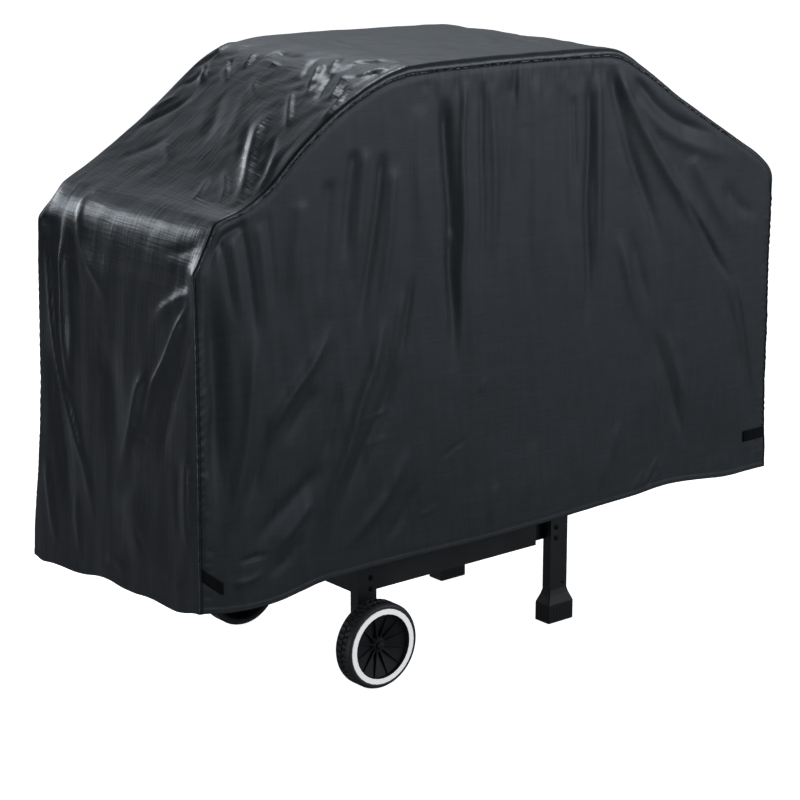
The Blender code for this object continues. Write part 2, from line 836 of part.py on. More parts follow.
def control_panel():
    """Folded front panel, with holes for the two valve stems and the igniter button."""
    shape = bmesh.new()
    bmesh.ops.create_cube(shape, size=1.0)
    open_back = [face for face in shape.faces if face.normal.y > 0.5]
    bmesh.ops.delete(shape, geom=open_back, context="FACES_ONLY")
    half = FIREBOX_HALF
    for vert in shape.verts:
        y = PANEL_BACK_Y if vert.co.y > 0 else PANEL_FRONT_Y
        z = PANEL_HIGH_Z if vert.co.z > 0 else PANEL_LOW_Z
        vert.co = (2 * vert.co.x * half, y, z)
    item = mesh_object("control_panel", shape, PAINT_BLACK)
    wall = item.modifiers.new("Solidify", "SOLIDIFY")
    wall.thickness = 0.002
    wall.offset = -1.0
    wall.use_even_offset = True
    for x in KNOB_X:
        hole_along_y(item, x, KNOB_Z, STEM_R + 0.002, PANEL_FRONT_Y - 0.01, PANEL_FRONT_Y + 0.01)
    hole_along_y(item, 0, KNOB_Z, BUTTON_R + GAP, PANEL_FRONT_Y - 0.01, PANEL_FRONT_Y + 0.01)
    return item


def gas_manifold():
    """Gas pipe behind the panel, with a valve stem for each knob and a jet for each burner feed."""
    y = MANIFOLD_Y
    pipe = rod("gas_manifold", MANIFOLD_R, (-0.22, y, BURNER_Z), 0.44, "X", STEEL)
    for x in KNOB_X:
        valve = (x - 0.010, y - 0.010, BURNER_Z - 0.009)
        join(pipe, box("valve", valve, (x + 0.010, y + 0.006, KNOB_Z + 0.010), None))
        join(pipe, rod("stem", STEM_R, (x, y, KNOB_Z), -PANEL_FRONT_Y + y + 0.009, "-Y", None))
    return pipe


def knob(name, x):
    """Round knob with a grip bar and a blind hole for its stem."""
    back = PANEL_FRONT_Y - 0.001
    deep = KNOB_DEEP
    bore = STEM_R + GAP
    profile = [
        (0.0, deep * 0.78),
        (KNOB_R * 0.62, deep * 0.78),
        (KNOB_R * 0.94, deep * 0.42),
        (KNOB_R, 0.001),
        (KNOB_R * 0.96, 0.0),
        (bore, 0.0),
        (bore, 0.0085),
        (0.0, 0.0085),
    ]
    body = turned(name, profile, (x, back, KNOB_Z), "-Y", PLASTIC_BLACK, 24, closed=False)
    body = as_mesh(body)
    body.data.materials.append(PLASTIC_BLACK)
    grip = box(
        "grip",
        (x - 0.0035, back - deep, KNOB_Z - KNOB_R * 0.9),
        (x + 0.0035, back - deep * 0.7, KNOB_Z + KNOB_R * 0.9),
        None,
    )
    return join(body, grip)


def igniter_button():
    """Push button that slides through the panel."""
    return rod("igniter_button", BUTTON_R, (0, PANEL_FRONT_Y + 0.008, KNOB_Z), 0.017, "-Y", PLASTIC_BLACK, 20)


def cooking_grate():
    """Two long bars with rods across, resting on the firebox's end ledges."""
    half_x = FIREBOX_HALF - FIREBOX_WALL - 0.002
    half_y = FIREBOX_HALF_DEEP - FIREBOX_WALL - 0.060
    z = GRATE_Z
    bar = 0.005
    reach = FIREBOX_HALF_DEEP - FIREBOX_WALL - 0.004
    frame = box("cooking_grate", (-half_x, -half_y, z), (half_x, -half_y + bar, z + bar), GRATE_IRON)
    join(frame, box("bar", (-half_x, half_y - bar, z), (half_x, half_y, z + bar), None))
    count = 15
    for index in range(count):
        x = -half_x + bar + (2 * half_x - 2 * bar) * index / (count - 1)
        low = (x - bar / 2, -reach, z + 0.0006)
        high = (x + bar / 2, reach, z + bar + 0.0006)
        join(frame, box("bar", low, high, None))
    return frame


def heat_plate():
    """Folded sheet tent between the burner and the grate, on its own ledges."""
    wide, tall, sheet = 0.085, 0.026, 0.002
    outline = [
        (-wide, 0.0),
        (-wide, sheet),
        (0.0, tall),
        (wide, sheet),
        (wide, 0.0),
        (0.0, tall - sheet * 1.2),
    ]
    length = 2 * (FIREBOX_HALF - FIREBOX_WALL - 0.003)
    return plate("heat_plate", [outline[::-1]], length, TURN_END, (0, 0, HEAT_Z), STEEL)


def burner():
    """Closed pipe along the firebox, with two feeds that come in through its front wall."""
    length = 0.46
    pipe = rod("burner", BURNER_R, (-length / 2, 0, BURNER_Z), length, "X", STEEL, 16)
    reach = -MANIFOLD_Y - MANIFOLD_R - 0.001
    for x in KNOB_X:
        join(pipe, rod("feed", BURNER_FEED_R, (x, 0, BURNER_Z), reach, "-Y", None))
    return pipe


def side_shelf(name, side):
    low_x, high_x = sorted((side * SHELF_START, side * SHELF_END))
    return box(
        name,
        (low_x, -SHELF_HALF_DEPTH, SHELF_TOP_Z - SHELF_THICK),
        (high_x, SHELF_HALF_DEPTH, SHELF_TOP_Z),
        PLASTIC_BLACK,
        bevel=0.005,
    )


def shelf_bracket(name, side, face):
    """Arm from the firebox's side to the shelf's far edge."""
    inner, outer = FIREBOX_HALF + GAP, SHELF_END - 0.05
    low_x, high_x = sorted((side * inner, side * outer))
    y = face * 0.120
    top = SHELF_TOP_Z - SHELF_THICK - GAP
    return box(name, (low_x, y - 0.010, top - 0.022), (high_x, y + 0.010, top), PAINT_BLACK, bevel=0.001)


def build_grill():
    firebox()
    hood()
    hood_handle()
    hinge_pin("left_hood_hinge_pin", LEFT)
    hinge_pin("right_hood_hinge_pin", RIGHT)
    control_panel()
    gas_manifold()
    knob("left_knob", KNOB_X[0])
    knob("right_knob", KNOB_X[1])
    igniter_button()
    cooking_grate()
    heat_plate()
    burner()
    for end_name, side in (("left", LEFT), ("right", RIGHT)):
        side_shelf(f"{end_name}_shelf", side)
        for face_name, face in (("front", FRONT), ("back", BACK)):
            shelf_bracket(f"{end_name}_shelf_{face_name}_bracket", side, face)


build_cover()
build_frame()
build_wheels()
build_grill()
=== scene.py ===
"""A fabric cover fitted over a two-wheeled grill cart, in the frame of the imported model."""
import json
import math

import bmesh
import bpy
import numpy as np
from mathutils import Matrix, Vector


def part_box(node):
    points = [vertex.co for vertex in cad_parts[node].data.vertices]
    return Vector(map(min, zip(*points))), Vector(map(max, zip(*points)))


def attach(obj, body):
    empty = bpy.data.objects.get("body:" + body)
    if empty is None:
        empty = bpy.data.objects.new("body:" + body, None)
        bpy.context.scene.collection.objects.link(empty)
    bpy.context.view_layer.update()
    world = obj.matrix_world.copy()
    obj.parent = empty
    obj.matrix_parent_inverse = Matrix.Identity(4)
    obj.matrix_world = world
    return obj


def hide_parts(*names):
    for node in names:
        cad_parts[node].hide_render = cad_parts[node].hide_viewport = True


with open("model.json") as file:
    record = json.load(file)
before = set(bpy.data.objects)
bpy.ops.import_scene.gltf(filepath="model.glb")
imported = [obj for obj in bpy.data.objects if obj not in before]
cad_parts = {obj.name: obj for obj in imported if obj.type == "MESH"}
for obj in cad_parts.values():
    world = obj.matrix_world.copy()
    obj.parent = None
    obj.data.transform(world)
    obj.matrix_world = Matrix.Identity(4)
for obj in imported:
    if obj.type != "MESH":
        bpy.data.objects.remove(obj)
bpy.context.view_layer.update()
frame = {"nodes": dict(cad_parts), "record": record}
scene = bpy.context.scene
V = np.array
TINY, SMALL, FAR = 1e-12, 1e-9, 1e9    # guards for divisions, and a start for searches


# ---------------------------------------------------------------- small tools
def smooth(t):
    t = np.clip(t, 0.0, 1.0)
    return t * t * (3 - 2 * t)


def rows(*columns):
    return np.stack(columns, 1)


def run(path):
    """Length along the path up to each of its points."""
    return np.concatenate([[0], np.cumsum(np.linalg.norm(np.diff(path, axis=0), axis=1))])


def unit(a):
    return a / (np.linalg.norm(a, axis=-1, keepdims=True) + TINY)


def spline(points, per):
    """Catmull-Rom through the rows of points, per samples to a span."""
    p = V(points, float)
    e = np.vstack([2 * p[0] - p[1], p, 2 * p[-1] - p[-2]])
    t = np.arange(per)[:, None] / per
    out = []
    for k in range(1, len(e) - 2):
        a, b, c, d = e[k - 1 : k + 3]
        out.append(0.5 * (2 * b + (c - a) * t + (2 * a - 5 * b + 4 * c - d) * t**2
                          + (3 * b - a - 3 * c + d) * t**3))
    return np.vstack(out + [p[-1:]])


LATTICE = np.random.default_rng(11).random(4096)


def noise(p, seed=0):
    """Smooth value noise from -1 to 1 at the rows of p, which are in cells."""
    p = np.asarray(p, float)
    i = np.floor(p).astype(np.int64)
    f = p - i
    f = f * f * f * (f * (6 * f - 15) + 10)
    total = 0
    for dx in (0, 1):
        for dy in (0, 1):
            for dz in (0, 1):
                h = ((i[:, 0] + dx) * 73 + (i[:, 1] + dy) * 179 + (i[:, 2] + dz) * 283 + seed * 911)
                h = (h * 2654435761 + (h // 13) * 40503) % 4096
                w = ((f[:, 0] if dx else 1 - f[:, 0]) * (f[:, 1] if dy else 1 - f[:, 1])
                     * (f[:, 2] if dz else 1 - f[:, 2]))
                total = total + w * LATTICE[h]
    return total * 2 - 1


def ridged(p, seed=0):
    return 1 - 2 * np.abs(noise(p, seed))


def mesh_object(name, verts, faces, uv=None):
    me = bpy.data.meshes.new(name)
    me.from_pydata([tuple(v) for v in verts], [], faces)
    if uv is not None:
        layer = me.uv_layers.new(name="cloth")
        loops = np.zeros(len(me.loops), np.int32)
        me.loops.foreach_get("vertex_index", loops)
        layer.data.foreach_set("uv", V(uv, np.float32)[loops].ravel())
    me.polygons.foreach_set("use_smooth", [True] * len(me.polygons))
    ob = bpy.data.objects.new(name, me)
    scene.collection.objects.link(ob)
    return ob


def grid_faces(nu, nv):
    return [(i * nv + j, (i + 1) * nv + j, (i + 1) * nv + j + 1, i * nv + j + 1)
            for i in range(nu - 1) for j in range(nv - 1)]


# ---------------------------------------------------------------- the cover's base shape
EDGE = 0.2645          # half the depth of the cover, at its sewn edges
HALF_LENGTH = .762     # of the cover, at its corner seams
CREST_Z = .93          # the strip is a wall below this height and a top above it
# stations along the top strip from the left hem, over the top, to the right hem:
# x, z at the front edge, x, z at the back edge, radius of the rolled edge, how far the middle hangs in
STATIONS = [
    (-.766, .263, -.790, .247, .004, 0), (-.764, .360, -.786, .360, .004, 0),
    (-.763, .486, -.777, .486, .004, 0), (-.762, .671, -.773, .671, .004, .001),
    (-.762, .840, -.769, .845, .003, .0075), (-.7625, .882, -.767, .900, .003, .0125),
    (-.763, .907, -.7655, .934, .003, .0155), (-.753, .924, -.757, .946, .003, .0085),
    (-.738, .950, -.741, .962, .004, -.0015), (-.724, .976, -.724, .980, .004, -.006),
    (-.715, .992, -.712, .993, .004, -.001), (-.700, 1.001, -.698, 1.003, .005, 0),
    (-.650, 1.016, -.636, 1.035, .006, 0), (-.592, 1.048, -.560, 1.081, .007, 0),
    (-.520, 1.112, -.486, 1.129, .008, 0), (-.440, 1.168, -.412, 1.184, .009, 0),
    (-.372, 1.204, -.372, 1.211, .010, 0), (-.322, 1.225, -.335, 1.229, .012, 0),
    (-.285, 1.235, -.295, 1.237, .014, 0), (-.235, 1.241, -.225, 1.244, .015, 0),
    (-.070, 1.241, -.070, 1.242, .015, 0), (.090, 1.238, .090, 1.237, .015, 0),
    (.235, 1.233, .235, 1.232, .015, 0), (.282, 1.227, .282, 1.226, .014, 0),
    (.318, 1.212, .318, 1.212, .012, 0), (.350, 1.192, .350, 1.192, .010, 0),
    (.395, 1.162, .395, 1.166, .007, 0), (.467, 1.113, .467, 1.116, .006, 0),
    (.560, 1.057, .560, 1.060, .006, 0), (.652, 1.003, .652, 1.006, .005, 0),
    (.706, .971, .706, .975, .005, 0), (.741, .943, .741, .945, .004, 0),
    (.757, .918, .757, .920, .004, 0), (.759, .880, .760, .880, .004, 0),
    (.758, .729, .760, .729, .004, 0), (.761, .594, .762, .594, .004, 0),
    (.761, .457, .763, .457, .004, 0), (.766, .316, .767, .316, .004, 0),
    (.767, .257, .768, .255, .004, 0)]
PER = 20               # dense stations from one station to the next
RAIL = spline(STATIONS, PER)
LEFT_SHOULDER, LEFT_CREST, RIGHT_CREST, RIGHT_SHOULDER = 6 * PER, 10 * PER, 31 * PER, 32 * PER


def rail_at(k, y):
    """x, z, outward normal x, z and edge radius at dense station k (may be fractional) and depth y."""
    k = np.asarray(k, float)
    idx = np.arange(len(RAIL))
    w = np.clip((y + EDGE) / (2 * EDGE), 0, 1)
    col = [np.interp(k, idx, RAIL[:, c]) for c in range(6)]
    x, z = col[0] * (1 - w) + col[2] * w, col[1] * (1 - w) + col[3] * w
    x = x + col[5] * smooth(12 * w * (1 - w))
    d = np.gradient(RAIL, axis=0)
    dx = np.interp(k, idx, d[:, 0]) * (1 - w) + np.interp(k, idx, d[:, 2]) * w
    dz = np.interp(k, idx, d[:, 1]) * (1 - w) + np.interp(k, idx, d[:, 3]) * w
    n = np.hypot(dx, dz) + TINY
    return x, z, -dz / n, dx / n, col[4]


def seam_curve(side):
    """The sewn edge of the strip with the front (-1) or back (+1) panel, with its outward strip normal."""
    k = np.arange(len(RAIL), dtype=float)
    x, z, nx, nz, r = rail_at(k, side * EDGE)
    return rows(x - nx * r, z - nz * r), rows(nx, nz)


SEAM = {s: seam_curve(s) for s in (-1, 1)}


def top_point(x, y):
    """A point of the strip's top, from crest to crest, over (x, y)."""
    k = np.arange(LEFT_SHOULDER, RIGHT_SHOULDER + 1, dtype=float)
    px, pz, _, _, _ = rail_at(k, y)
    return (x, y, float(np.interp(x, px, pz)))


def end_point(side, y, z):
    """A point on the left (-1) or right (+1) end over (y, z)."""
    k = np.arange(0, LEFT_CREST + PER) if side < 0 else np.arange(RIGHT_CREST - PER, len(RAIL))[::-1]
    px, pz, _, _, _ = rail_at(k.astype(float), y)
    return (float(np.interp(z, pz, px)), y, z)


# ---------------------------------------------------------------- folds
# each fold, in millimetres: width, height (above 0 it stands out), sharpness 0..1, then the points it runs
# through: x and z on the front and back, y and z on the two ends, x and y on the top
FRONT_FOLDS = [
    # the strip's edge stands proud over the shoulder, and the panel falls back under it
    (10, -6, .2, -645, 992, -690, 975, -722, 945, -744, 900),
    # fan under the left shoulder
    (5.5, -3, .2, -705, 970, -690, 900, -672, 800), (6, 2.4, .2, -682, 970, -667, 900, -652, 780),
    (6, -3.4, .2, -655, 985, -637, 880, -622, 740), (9, 2.2, 0, -622, 990, -607, 880, -600, 750),
    (5, -1.6, .1, -600, 1010, -588, 900, -582, 800),
    # the hollow beside the corner seam and the ridge that runs from it to the corner
    (24, -13, 0, -737, 900, -722, 830, -717, 700, -717, 560, -728, 420),
    (7, 2.5, 0, -735, 720, -730, 660, -738, 600), (8, 2, 0, -750, 550, -735, 500, -742, 450),
    (15, 6.5, .2, -630, 820, -640, 700, -653, 580, -685, 460, -735, 345),
    (12, -4, 0, -600, 630, -622, 530, -660, 430),
    (14, 6.5, .3, -445, 780, -500, 700, -545, 655, -590, 600, -635, 530),
    (14, -3.5, 0, -480, 660, -530, 605, -570, 550), (17, -5, 0, -460, 505, -530, 455, -600, 405, -650, 360),
    (12, 3.5, .2, -490, 440, -550, 385, -610, 335), (12, -2.5, 0, -520, 375, -560, 330, -620, 300),
    # the long ridge and the hollow at its right
    (14, 7.5, .3, -315, 800, -350, 680, -385, 605, -415, 520, -455, 440, -490, 330),
    (17, -6.5, 0, -285, 700, -320, 600, -370, 510, -415, 430, -450, 340),
    (13, -3.5, 0, -430, 660, -455, 560, -485, 480),
    (13, 4.5, .2, -260, 500, -310, 415, -370, 355, -430, 305),
    (12, -2.5, 0, -240, 420, -280, 350, -330, 300),
    # upper folds left of the middle
    (11, -5, .2, -325, 1090, -340, 980, -355, 900, -375, 800, -392, 700),
    (11, 3, 0, -298, 1060, -312, 920, -332, 800, -352, 710),
    (12, -3.5, 0, -395, 1100, -412, 980, -425, 860), (11, 2.5, 0, -368, 1100, -382, 970, -400, 840),
    (15, -2.5, 0, -455, 1050, -467, 920, -475, 800), (16, 2.5, 0, -520, 1020, -535, 920, -545, 820),
    (7, -4, .3, -252, 850, -268, 750, -290, 650), (8, 3, .2, -277, 820, -298, 720, -318, 630),
    (16, 2.5, 0, -235, 1170, -238, 1020, -225, 860),
    # the deep fold under the front edge of the flat top
    (14, -10, 0, -175, 1180, -165, 1040, -155, 940, -155, 840, -146, 730, -150, 580),
    (7, 4.5, .3, -125, 1215, -130, 1060, -124, 930, -130, 800, -125, 640),
    (6, -3.5, .2, -83, 1200, -80, 1060, -75, 930, -80, 790),
    (9, 3, 0, -60, 1200, -48, 1060, -44, 930, -50, 820),
    (18, -2.2, 0, -5, 1210, -10, 1050, -20, 900, -15, 750),
    (17, 2.2, 0, 60, 1200, 65, 1020, 70, 860, 75, 700), (6, -3, .2, 162, 1150, 168, 1050, 178, 930),
    (14, -2, 0, 135, 1180, 140, 1000, 150, 820),
    (9, -5.5, .3, 203, 1190, 210, 1040, 205, 920, 214, 780, 205, 680, 175, 610),
    (10, 4, 0, 230, 1190, 235, 1030, 238, 870, 245, 700),
    # fan from the right corner of the flat top
    (14, -5.5, 0, 262, 1200, 290, 1110, 320, 1020, 360, 940, 400, 850, 430, 750),
    (15, 6, .2, 277, 1195, 325, 1110, 385, 1020, 460, 925, 540, 835, 640, 720),
    (8, -4.5, .3, 460, 930, 550, 815, 600, 745, 650, 690),
    (11, -4, .2, 330, 1170, 400, 1100, 480, 1055, 600, 1020),
    (14, 3, 0, 330, 1130, 420, 1050, 530, 1000, 660, 960), (17, 3, 0, 500, 990, 570, 890, 660, 780),
    (14, -2.5, 0, 600, 920, 660, 860, 720, 830), (7, 3.5, .2, 645, 740, 685, 610, 710, 500, 735, 390),
    (10, -3, 0, 620, 690, 660, 570, 690, 440), (11, -4, .2, 400, 640, 452, 515, 488, 425, 530, 325),
    (10, 2.5, 0, 435, 640, 482, 520, 520, 420), (12, 3, 0, 290, 860, 332, 740, 372, 620),
    (12, -2.5, 0, 330, 860, 360, 760, 400, 660), (12, 2.5, 0, 310, 450, 280, 360, 255, 300),
    (14, 2, 0, 70, 460, 55, 360, 30, 290), (8, 2, .2, -30, 380, -45, 330, -55, 285),
    # pulled threads and puckers near the hem
    (4, 2.2, .3, 366, 285, 388, 325), (5, 2.6, .3, 392, 288, 435, 350), (4, 2, .3, 420, 290, 448, 335),
    (4, -2, 0, 405, 285, 430, 320), (3, -1.6, .5, -185, 452, -145, 472, -95, 488),
    (3, 1.6, .5, -370, 568, -335, 573, -300, 590), (3, 1.2, .5, -385, 515, -340, 520, -305, 525),
    (3, 1.2, .5, -240, 345, -210, 350, -180, 360), (4, 1.5, .3, -75, 575, -68, 605),
    (6, -2, .2, -680, 345, -640, 350, -600, 345), (6, 2, .2, -700, 310, -660, 305, -610, 315),
]
LEFT_FOLDS = [
    (17, 8.5, 0, 189, 965, 186, 910, 177, 820, 167, 720, 157, 630, 150, 550),
    (7, -3.5, .1, 208, 940, 199, 860, 186, 760), (9, 5, .3, 157, 995, 132, 920, 105, 885, 65, 845, 20, 800),
    (10, -3, 0, 165, 930, 140, 860, 110, 800),
    (11, 7.5, .15, 247, 940, 229, 840, 210, 740, 185, 640, 156, 570, 128, 510, 100, 455, 80, 395, 66, 320),
    (24, -7.5, 0, 225, 700, 200, 560, 170, 440, 140, 330), (9, 4, .2, 240, 470, 212, 370, 182, 270),
    (7, 3.5, .3, 137, 420, 122, 340, 115, 265), (9, 3, 0, 262, 620, 262, 500, 258, 380),
    (13, 5, .1, -256, 875, -215, 858, -165, 830, -110, 790),
    (9, 9, .4, -250, 870, -206, 800, -166, 730, -132, 680, -112, 635, -85, 580),
    (15, 8, .2, -105, 710, -80, 655, -55, 580, -15, 490),
    (17, -5, 0, -235, 790, -190, 690, -160, 600, -150, 520), (40, -5, 0, 40, 740, 10, 620, 30, 500),
    (50, 6, 0, -40, 470, -70, 370, -100, 300), (9, 4, .2, -232, 580, -226, 460, -233, 360),
    (10, -2.5, 0, -205, 560, -200, 460, -210, 380), (3, 1.8, .3, -98, 588, -55, 582),
    (3, -2, .3, -110, 565, -65, 558), (3, 1.6, .3, -90, 540, -50, 535), (3, 1.6, .3, -105, 515, -70, 505),
    (4, -2.8, .3, -70, 390, -85, 365, -105, 335), (6, 3.5, .3, 35, 300, 0, 302, -35, 285),
    (4, 1.8, .3, 60, 745, 45, 735), (4, 1.6, .3, 60, 665, 30, 655), (3, 2, .4, -258, 800, -235, 795),
    (3, -2, .4, -258, 785, -238, 778), (3, 2, .4, -258, 770, -240, 765), (5, 1.5, .2, 140, 355, 100, 350),
    (5, 1.8, .2, -160, 310, -210, 300), (12, -2.5, 0, -250, 960, -200, 940, -140, 930),
]
TOP_FOLDS = [
    # left slope
    (14, 8, .1, -455, -75, -500, -107, -550, -150, -600, -200, -660, -240),
    (10, -3, 0, -480, -55, -530, -100, -580, -145), (7, 4.5, .3, -520, -205, -570, -232, -620, -255),
    (7, 4.5, .3, -400, -80, -440, -125, -500, -195), (7, -3.5, 0, -500, -165, -550, -200, -600, -232),
    (7, 3.5, .3, -600, -85, -640, -115, -680, -130), (6, 3, .3, -575, -100, -620, -165, -670, -210),
    (8, 4.5, .3, -375, 235, -410, 200, -440, 175), (8, 3.5, .3, -510, 262, -485, 240, -455, 215),
    (8, 2.2, 0, -560, 120, -580, 80, -600, 45), (10, -4.5, 0, -550, 240, -515, 220, -485, 190, -440, 165),
    (8, -3.5, 0, -440, 235, -415, 215, -385, 220), (14, -2, 0, -620, 200, -580, 150, -530, 120),
    (16, -2, 0, -430, 100, -490, 50, -560, 0), (14, 1.6, 0, -420, 40, -480, -10, -550, -50),
    # crumples where the left slope meets the flat top
    (8, 6.5, .5, -315, -65, -360, -100, -420, -145), (7, -5, .2, -335, -125, -375, -150, -430, -190),
    (7, 5.5, .5, -330, -165, -365, -185, -420, -215), (6, -4, .2, -360, -205, -400, -225, -450, -250),
    (7, 6, .5, -375, -220, -420, -240, -475, -256), (6, 4.5, .5, -345, -200, -310, -215, -275, -235),
    (6, 4, .4, -270, -75, -320, -105, -350, -130), (7, -3.5, 0, -290, -120, -270, -160, -265, -200),
    (7, 3, .3, -260, -140, -245, -180, -240, -225), (7, -3, 0, -300, -30, -340, -55, -380, -85),
    (7, 4, .4, -345, 100, -350, 55, -358, 10), (6, 4, .4, -325, 140, -355, 122, -385, 110),
    (12, -4.5, 0, -300, 105, -312, 50, -305, -10), (5, -2.2, .3, -335, 235, -285, 170, -255, 80),
    (7, 5, .5, -290, 252, -335, 245, -370, 225), (6, -4, .2, -410, 250, -370, 240, -325, 220),
    (9, 2.5, .2, -370, 170, -400, 140, -420, 100), (8, -2.5, 0, -350, 185, -375, 155, -390, 120),
    (9, 2.2, .2, -390, 50, -420, 20, -440, -30), (8, 2, .2, -200, 210, -240, 140, -250, 60),
    # flat top
    (8, 1.8, .2, -90, 130, -50, 100, 20, 75), (9, 2, .2, -140, 140, -175, 60, -185, -30),
    (16, -2.5, 0, -200, -20, -120, -50, 0, -40), (14, 1.8, 0, 50, -120, 120, -60, 150, 30),
    (14, -2, 0, 200, -220, 180, -120, 210, 0, 190, 120),
    (10, 2.5, .2, 240, 200, 255, 80, 250, -60, 262, -180),
    # right slope
    (9, 5, .3, 300, -240, 360, -190, 440, -120, 520, -70), (10, -3.5, 0, 330, -190, 400, -120, 460, -50),
    (9, 5, .3, 320, 225, 380, 170, 450, 120, 530, 90), (10, -3.5, 0, 340, 170, 400, 110, 460, 70),
    (8, 4, .3, 660, -220, 600, -160, 540, -130), (8, 4, .3, 670, 230, 600, 180, 550, 160),
    (13, 2.5, .2, 310, 20, 370, 0, 450, 15), (7, -3.5, .2, 290, 120, 330, 90, 360, 80),
    (14, -2.5, 0, 560, 20, 620, -10, 680, -10), (7, 3.5, .3, 300, -90, 340, -80, 380, -55),
]
RIGHT_FOLDS = [
    (12, 6.5, .2, -200, 980, -190, 880, -165, 760, -130, 660, -90, 560),
    (8, -4.5, .1, -222, 930, -205, 820, -180, 720),
    (8, 7, .4, 245, 900, 210, 800, 175, 690, 120, 580, 70, 480, 50, 380, 30, 300),
    (22, -6, 0, 220, 700, 190, 560, 150, 440), (9, 4, .3, 160, 970, 130, 900, 80, 850),
    (10, 4, .2, -240, 550, -220, 420, -190, 300), (8, 3.5, .2, -150, 460, -120, 360, -110, 270),
    (38, -5, 0, 20, 750, -10, 620, -30, 500), (9, 3.5, .2, 200, 460, 170, 350, 160, 270),
    (40, 5, 0, -20, 450, 0, 350), (6, 2.5, .2, -60, 330, -20, 310, 30, 315), (5, 2, .2, 100, 700, 80, 660),
]
BACK_FOLDS = [
    (9, -4.5, .2, 700, 960, 680, 860, 660, 760), (9, 3.5, .2, 670, 970, 650, 860, 640, 740),
    (24, -6, 0, 720, 800, 710, 620, 725, 450), (15, 6, .2, 620, 800, 640, 620, 680, 460, 730, 340),
    (14, 5.5, .2, 420, 800, 500, 700, 580, 610, 640, 530), (17, -5, 0, 460, 520, 550, 440, 630, 370),
    (14, 7, .2, 300, 800, 350, 670, 400, 550, 460, 430, 490, 330),
    (17, -6, 0, 270, 700, 330, 580, 400, 450, 440, 340), (11, -4.5, .1, 330, 1090, 350, 930, 385, 760),
    (12, 3, 0, 400, 1090, 420, 950, 440, 820), (14, -8, 0, 200, 1190, 190, 1000, 180, 820, 170, 620),
    (8, 4.5, .3, 150, 1200, 155, 1000, 145, 800, 140, 650), (12, -3.5, 0, 60, 1200, 55, 1000, 50, 800),
    (12, 3.5, 0, -20, 1200, -25, 1020, -15, 850, -30, 680),
    (10, -5, .2, -110, 1200, -115, 1020, -100, 840, -110, 660),
    (10, 5, .2, -210, 1190, -220, 1030, -210, 860, -225, 680),
    (14, -5.5, 0, -270, 1190, -310, 1060, -370, 930, -420, 790),
    (15, 6, .2, -290, 1190, -360, 1050, -460, 920, -560, 810, -660, 720),
    (9, -4.5, .2, -460, 930, -550, 820, -640, 700), (17, 3, 0, -500, 990, -580, 890, -660, 780),
    (8, 4, .2, -650, 740, -690, 600, -730, 400), (12, -4.5, .1, -400, 640, -460, 500, -530, 330),
    (12, 3.5, 0, -290, 860, -340, 730, -380, 600), (15, 3, 0, 0, 550, 20, 420, -10, 300),
    (13, -3, 0, -180, 500, -200, 380, -170, 290), (12, 3, .1, 240, 440, 270, 360, 310, 300),
    (30, 4, 0, -760, 520, -745, 400, -750, 270), (16, -4, 0, -700, 450, -680, 350, -690, 270),
]


def gathers(seed):
    """Short pleats hanging from a sewn edge of the flat top."""
    rng = np.random.default_rng(seed)
    out, x = [], -220
    while x < 250:
        deep = rng.uniform(35, 110)
        low_x, width = x + rng.uniform(-4, 6), rng.uniform(3.5, 6)
        height = rng.uniform(1.2, 2.4) * rng.choice([-1, 1])
        out.append((width, height, .2, x, 1235, low_x, 1225 - deep))
        x += rng.uniform(12, 26)
    return out


def end_puckers(seed):
    """Little creases across a corner seam: where up the seam, how far they reach, width, height."""
    rng = np.random.default_rng(seed)
    out, z = [], .30
    while z < .90:
        reach = rng.uniform(.012, .035)
        out.append((z, reach, rng.uniform(2.5, 4.5), rng.uniform(.8, 2.0) * rng.choice([-1, 1])))
        z += rng.uniform(.012, .034)
    return out


# how much higher, narrower and crisper than listed the folds of each group are made
STYLE = {"panel": (1.0, 1.0, .05), "end": (1.25, .85, .2), "top": (1.1, .9, .2)}


def place_folds():
    """Every fold as (3-D points, width, height, sharpness, face), in metres."""
    out = []

    def add(face, style, folds, place):
        gain, narrow, crisp = STYLE[style]
        for width, height, sharp, *points in folds:
            line = V(points).reshape(-1, 2) / 1000
            if len(line) > 2:
                line = spline(line, 5)
            placed = V([place(a, b) for a, b in line])
            out.append((placed, width * narrow / 1000, height * gain / 1000, min(1, sharp + crisp), face))

    add("F", "panel", FRONT_FOLDS + gathers(3), lambda x, z: (x, -EDGE, z))
    add("B", "panel", BACK_FOLDS + gathers(8), lambda x, z: (x, EDGE, z))
    add("S", "end", LEFT_FOLDS, lambda y, z: end_point(-1, y, z))
    add("S", "end", RIGHT_FOLDS, lambda y, z: end_point(1, y, z))
    add("S", "top", TOP_FOLDS, top_point)
    for sx, sy, seed in ((-1, -1, 21), (-1, 1, 22), (1, -1, 23), (1, 1, 24)):
        x, y = sx * HALF_LENGTH, sy * EDGE
        for z, reach, width, height in end_puckers(seed):
            low = z - reach * .4
            on_end, on_panel = (x, sy * (EDGE - reach), low), (sx * (HALF_LENGTH - reach), y, low)
            for end, face in ((on_end, "S"), (on_panel, "F" if sy < 0 else "B")):
                out.append((V([(x, y, z), end]), width / 1000, height / 1000, .2, face))
    return out


FOLDS = place_folds()


